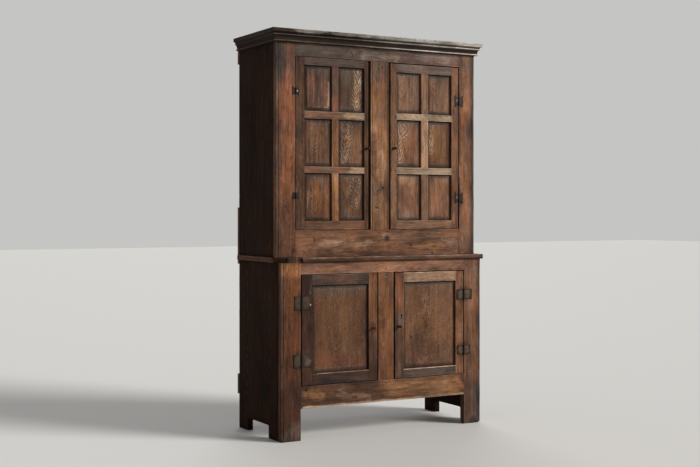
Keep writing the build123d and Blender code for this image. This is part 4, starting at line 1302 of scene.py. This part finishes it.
def cornice_section(face, outward, bottom):
    """The corners of a cornice strip that stands out from a face."""
    points = [(0, 0, 0.5, 0.3, 0.0)]
    for shape, grime, wear in zip(CORNICE_ARCS, CORNICE_SHADE_AND_GRIME, CORNICE_WEAR):
        points += [(*spot, 0.0, grime, wear) for spot in arc(*shape, 6)]
    points += [(31, 47, 0.8, 0.1, 0.6), (34, 50, 1.2, 0.0, 0.9)]
    points += [(34, 66, 2.5, 0.2, 1.0), (0, 69, 0.5, 0.3, 0.2)]
    return [
        Corner(face + outward * reach * MM, bottom + height * MM, radius * MM, grime, wear)
        for reach, height, radius, grime, wear in points
    ]


def make_cornice():
    """Three strips, mitred at the front corners."""
    (_, front), (_, left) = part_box("cornice_front"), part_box("cornice_left")
    bottom, half = front.z - CORNICE_HEIGHT, front.x - CORNICE_REACH
    look = look_of("cornice")
    cut = {"rough": 0.9 * MM, "chips": 3 * MM, "pitch": 9 * MM, "end_round": (0.3 * MM, 0.3 * MM)}
    section = cornice_section(UPPER_FRONT, -1, bottom)
    ends = (lambda y, z: -half - (UPPER_FRONT - y), lambda y, z: half + (UPPER_FRONT - y))
    span = (-half, 2 * half)
    board("cornice_front", "cornice_front", "X", ends, section, look, "oak_cornice", span=span, **cut)
    ends = (lambda x, z: UPPER_FRONT - (np.abs(x) - half), left.y)
    span = (UPPER_FRONT, left.y - UPPER_FRONT)
    for side, name in ((-1, "cornice_left"), (1, "cornice_right")):
        section = cornice_section(side * half, side, bottom)
        board(name, name, "Y", ends, section, look, "oak_cornice", span=span, **cut)


make_cornice()


# -------- doors


def make_stile(door, number, low, high, meeting):
    """A door's stile. In the upper doors, the meeting stile has a thin lip behind its outer edge."""
    outer, inner = (low.x, high.x) if number == 1 else (high.x, low.x)
    inward = math.copysign(1, inner - outer)
    lip = LIP_WIDTHS.get(door, 0.0) if meeting else 0.0
    edge = outer + inward * lip
    edge_round = 7 * MM if meeting and door == "upper_right_door" else 2 * MM
    section = [Corner(inner, low.y, 1.2 * MM, 0.0, 0.7), Corner(edge, low.y, edge_round, JOINT_GRIME, 1.0)]
    if lip:
        section += [
            Corner(edge, low.y + LIP_SETBACK, 0.4 * MM, 0.9, 0),
            Corner(outer, low.y + LIP_SETBACK, 1 * MM, 0.9, 0.2),
        ]
    section += [Corner(outer, high.y, 1 * MM), Corner(inner, high.y, 1 * MM, 0.5)]
    name = f"{door}_stile_{number}"
    return board(name, f"{door}_stiles", "Z", (low.z, high.z), section, look_of(name), "oak_door")


def make_door(door):
    """A door from its stiles, rails, short muntins and panels."""
    left, right = solids(f"{door}_stiles")
    hinged = 1 if "left" in door else 2
    for number, box in enumerate((left, right), 1):
        make_stile(door, number, *box, meeting=number != hinged)
    parts = [("rail", "X", box) for box in sorted(solids(f"{door}_rails"), key=lambda box: box[0].z)]
    for _, _, (low, high) in parts:
        low.x, high.x = left[1].x, right[0].x
    panels = f"{door}_panel"
    if door.startswith("upper"):
        tenon = Vector((0, 0, STUB_TENON))
        parts += [("muntin", "Z", (low + tenon, high - tenon)) for low, high in solids(f"{door}_muntins")]
        panels = f"{door}_panels"
    counts = {"rail": 0, "muntin": 0}
    for kind, axis, box in parts:
        counts[kind] += 1
        name = f"{door}_{kind}_{counts[kind]}"
        plank(name, f"{door}_{kind}s", axis, *box, look_of(name), "oak_door", 1.5 * MM, end_round=SHOULDER)
    for number, box in enumerate(solids(panels), 1):
        name = f"{door}_panel_{number}"
        panel(name, panels, *box, look_of(name))


KEYHOLE_TURNS = (-63, 243, 14)  # the round part, in degrees, and its number of points


def cut_keyhole(piece):
    """A keyhole right through a stile: a round hole over a narrower slot."""
    low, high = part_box("base_right_door_stiles")
    first, last, count = KEYHOLE_TURNS
    angles = np.linspace(math.radians(first), math.radians(last), count)
    middle = KEYHOLE_TOP - KEYHOLE_ROUND
    rim = [(KEYHOLE_X + KEYHOLE_ROUND * math.cos(a), middle + KEYHOLE_ROUND * math.sin(a)) for a in angles]
    rim += [(KEYHOLE_X - KEYHOLE_SLOT, KEYHOLE_BOTTOM), (KEYHOLE_X + KEYHOLE_SLOT, KEYHOLE_BOTTOM)]
    vertices = [(x, y, z) for y in (low.y - 10 * MM, high.y + 10 * MM) for x, z in rim]
    cutter = add_object("keyhole", new_mesh("keyhole", vertices, tube_faces(2, len(rim))))
    cut = piece.modifiers.new("keyhole", "BOOLEAN")
    cut.object, cut.operation = cutter, "DIFFERENCE"
    bpy.context.view_layer.update()
    carved = bpy.data.meshes.new_from_object(piece.evaluated_get(bpy.context.evaluated_depsgraph_get()))
    piece.modifiers.clear()
    piece.data = carved
    bpy.data.objects.remove(cutter)


DOORS = ("upper_left_door", "upper_right_door", "base_left_door", "base_right_door")
for door in DOORS:
    make_door(door)
cut_keyhole(bpy.data.objects["base_right_door_stile_1"])


# -------- pegs and ironwork


PEG_SIDES, NAIL_SIDES = 9, 6
LARGE_NAIL, SMALL_NAIL = 3.6 * MM, 2.6 * MM
# A nail head's rings: how far out of the leaf, and their share of its radius
NAIL_RINGS = ((1.5 * MM, 0.35), (0.8 * MM, 0.8), (-0.3 * MM, 1.0))
# Where a leaf's nails are: shares of its reach from the pin, and of its height from its middle
LARGE_LEAF_NAILS, SMALL_LEAF_NAILS = ((0.36, 0.0), (0.8, 0.3), (0.8, -0.3)), ((0.72, 0.22), (0.72, -0.22))


def make_pegs(node):
    """Cleft pegs, with many uneven sides, right through the wood. Their heads stand a little proud."""
    tubes = []
    turns = np.arange(PEG_SIDES) * math.tau / PEG_SIDES
    for number, (low, high) in enumerate(solids(node)):
        centre, radius, length = (low + high) / 2, (high.x - low.x) / 2, high.y - low.y
        uneven = 0.86 + 0.14 * smooth_noise(ring_round(0, number * 3.1, 0, 1, turns) * 1.3, seed_of(node))
        rings = ((0, 0.55), (0.25 * MM, 0.85), (0.8 * MM, 0.97), (length - MM, 0.97), (length, 0.85))
        rings = [(low.y + depth, radius * share * uneven) for depth, share in rings]
        tubes.append([ring_round(centre.x, y, centre.z, reach, turns) for y, reach in rings])
    vertices, faces = join_tubes(tubes)
    plain = np.zeros(len(vertices))
    material = oak(node, look_of("peg"), vertices.min(axis=0), vertices.max(axis=0), AXES.index("Y"))
    add_piece(f"{node}_worn", node, vertices, faces, plain, plain, material)


for node in ["frame_pegs", *(f"{door}_pegs" for door in DOORS)]:
    make_pegs(node)


LARGE_LEAF = 45  # the least height of a large leaf, in mm
LEAF_UNEVEN, LEAF_WAVE = 3 * MM, 7 * MM  # how far a hinge plate's outline strays, and over what length
PIN_CLEAR = 6 * MM  # the outline is straight this near to the pin
ARRIS_BEVEL = 0.5 * MM
FLAT, SHARP, SHADED_SHARP = math.radians(1), math.radians(40), math.radians(50)


def forge(node):
    """The CAD shape of an iron node, with its arrises eased and its plates cut a little uneven."""
    shape = bmesh.new()
    shape.from_mesh(nodes[node].data)
    bmesh.ops.remove_doubles(shape, verts=shape.verts, dist=0.01 * MM)
    bmesh.ops.dissolve_limit(shape, angle_limit=FLAT, verts=shape.verts, edges=shape.edges)
    marks = []
    if "leaves" in node:
        marks = [mark for box in solids(node) for mark in plate_marks(*box)]
        long = [e for e in shape.edges if e.calc_length() > 9 * MM]
        bmesh.ops.subdivide_edges(shape, edges=long, cuts=7, use_grid_fill=False)
        spots = np.array([v.co for v in shape.verts])
        shifts = [smooth_noise(spots * (1, 0, 1) / LEAF_WAVE, seed_of(node) + i) - 0.5 for i in (0, 1)]
        pins = np.array([(low + high) / 2 for low, high in solids("hinge_pins")])
        for v, dx, dz in zip(shape.verts, *shifts):
            if np.abs(pins[:, 0] - v.co.x).min() > PIN_CLEAR:
                v.co.x += dx * LEAF_UNEVEN
                v.co.z += dz * LEAF_UNEVEN
    sharp = [e for e in shape.edges if e.is_manifold and e.calc_face_angle(0) > SHARP]
    rounding = {"segments": 2, "profile": 0.6, "affect": "EDGES", "clamp_overlap": True}
    bmesh.ops.bevel(shape, geom=sharp, offset=ARRIS_BEVEL, **rounding)
    bmesh.ops.dissolve_degenerate(shape, edges=shape.edges, dist=0.001 * MM)
    mesh = bpy.data.meshes.new(f"{node}_forged")
    shape.to_mesh(mesh)
    shape.free()
    mesh.polygons.foreach_set("use_smooth", [True] * len(mesh.polygons))
    mesh.set_sharp_from_angle(angle=SHADED_SHARP)
    mesh.materials.clear()
    mesh.materials.append(make_iron(node, [*marks, *marks_of(node)]))
    piece = add_object(f"{node}_forged", mesh)
    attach(piece, nodes[node]["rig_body"])
    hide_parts(node)


def plate_marks(low, high):
    """Soot along a hinge plate's edges, round a face rubbed as brown as the wood, and painted shade beside
    its pin.
    """
    pin = min(((a + b) / 2 for a, b in solids("hinge_pins")), key=lambda p: (p - (low + high) / 2).length)
    pin, low, high = pin / MM, low / MM, high / MM
    outer = min((low.x, high.x), key=lambda x: -abs(x - pin.x))
    tall = high.z - low.z
    middle = (low + high) / 2
    large = tall > LARGE_LEAF and abs(outer - pin.x) > 35
    rubbed = 0.15
    if large:
        rubbed = 0.75 if low.x > 400 else 0.35
    ends = [(middle.x, middle.z + way * tall / 7) for way in (-1, 1)]
    face = Mark(*ends, tall / 4, 10, LEATHER, rubbed, 40)
    rim = [(pin.x, low.z + 3), (outer, low.z + 1), (outer, high.z - 1), (pin.x, high.z - 3)]
    edges = [Mark(start, end, 0.5, 5, SOOT_AND_SHADE, 0.65, 10) for start, end in zip(rim, rim[1:])]
    # The last mark is painted shade along the pin's knuckle
    return [face, *edges, Mark((pin.x, low.z + 8), (pin.x, high.z - 8), 5, 4, SOOT_AND_SHADE, 0.9, 4)]


def add_nails(node):
    """The forged heads of the nails that hold a node's leaves: three in a large leaf, two in a small one."""
    pins = [(low + high) / 2 for low, high in solids("hinge_pins")]
    heads = []
    for low, high in solids(node):
        pin = min((p.x for p in pins), key=lambda x: min(abs(x - low.x), abs(x - high.x)))
        outer = low.x if abs(low.x - pin) > abs(high.x - pin) else high.x
        span = outer - pin
        middle, tall = (low.z + high.z) / 2, high.z - low.z
        large = tall > LARGE_LEAF * MM and abs(span) > 40 * MM
        places = LARGE_LEAF_NAILS if large else SMALL_LEAF_NAILS
        heads += [(pin + span * x, high.y - LEAF_THICK, middle + tall * z, large) for x, z in places]
    tubes = []
    for number, (x, y, z, large) in enumerate(heads):
        radius = LARGE_NAIL if large else SMALL_NAIL
        turns = np.arange(NAIL_SIDES) * math.tau / NAIL_SIDES + number * 1.7
        uneven = 0.85 + 0.3 * smooth_noise(ring_round(0, number, 0, 1, turns), 3)
        rings = [(y - out, radius * share * uneven) for out, share in NAIL_RINGS]
        tubes.append([ring_round(x, depth, z, reach, turns) for depth, reach in rings])
    name = node.replace("leaves", "nails")
    mesh = new_mesh(name, *join_tubes(tubes))
    mesh.materials.append(make_iron(name))
    piece = add_object(name, mesh)
    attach(piece, nodes[node]["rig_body"])


iron_nodes = ["hinge_frame_leaves", "hinge_pins", "lock_case", "lock_bolt"]
iron_nodes += [f"{door}_hinge_leaves" for door in DOORS]
iron_nodes += [door.replace("door", "catch") for door in DOORS]
for node in iron_nodes:
    forge(node)
    if "leaves" in node:
        add_nails(node)


# -------- stage, light, camera


FLOOR_REACH, FLOOR_COLOUR, FLOOR_ROUGHNESS = 30.0, (0.72, 0.71, 0.69, 1), 0.85
BACKDROP_COLOUR, BACKDROP_LIGHT = (0.56, 0.56, 0.55, 1), 0.4
LENS, SENSOR_WIDTH, LENS_SHIFT = 61.81, 36.0, -0.0330  # in mm, and as a share of the sensor's width
CAMERA_PLACE, CAMERA_HEADING = (-3.241, -5.6435, 1.160), -29.323
LAMP_TARGET = (0, 0, 1.2)


def add_floor():
    mesh = bpy.data.meshes.new("floor")
    corners = [(x * FLOOR_REACH, y * FLOOR_REACH, 0) for x, y in ((-1, -1), (1, -1), (1, 1), (-1, 1))]
    mesh.from_pydata(corners, [], [(0, 1, 2, 3)])
    floor = add_object("floor", mesh)
    material, kit, shader = new_material("floor")
    kit.feed(shader, {"Base Color": FLOOR_COLOUR, "Roughness": FLOOR_ROUGHNESS})
    mesh.materials.append(material)


def add_world():
    """A pale background for the camera and for reflections, and a weaker even light."""
    world = bpy.data.worlds.new("studio")
    bpy.context.scene.world = world
    world.use_nodes = True
    kit = Kit(world.node_tree)
    path = kit.node("ShaderNodeLightPath")
    seen = kit.larger(kit.larger(path["Is Camera Ray"], path["Is Glossy Ray"]), path["Is Transmission Ray"])
    values = {"Color": BACKDROP_COLOUR, "Strength": kit.remap(seen, 0.0, 1.0, BACKDROP_LIGHT, 1.0)}
    kit.feed(world.node_tree.nodes["Background"], values)


def add_lamp(name, place, size, strength, colour):
    """A far and wide lamp: an even light from one side, with soft shadows. size is in degrees."""
    lamp = bpy.data.lights.new(name, "SUN")
    lamp.angle, lamp.energy, lamp.color = math.radians(size), strength, colour
    rig = add_object(name, lamp)
    rig.location = place
    rig.rotation_euler = (Vector(LAMP_TARGET) - Vector(place)).to_track_quat("-Z", "Y").to_euler()


def add_camera():
    camera = bpy.data.cameras.new("camera")
    camera.lens, camera.sensor_width, camera.shift_y = LENS, SENSOR_WIDTH, LENS_SHIFT
    rig = add_object("camera", camera)
    rig.location = CAMERA_PLACE
    rig.rotation_euler = (math.radians(90), 0, math.radians(CAMERA_HEADING))
    bpy.context.scene.camera = rig


add_floor()
add_world()
add_lamp("key", (5.4, -5.6, 4.8), 22, 3.5, (1.0, 0.98, 0.95))
add_lamp("back", (3.0, 6.5, 5.0), 40, 0.9, (1.0, 1.0, 1.0))
add_camera()
bpy.context.scene.view_settings.view_transform = "Standard"
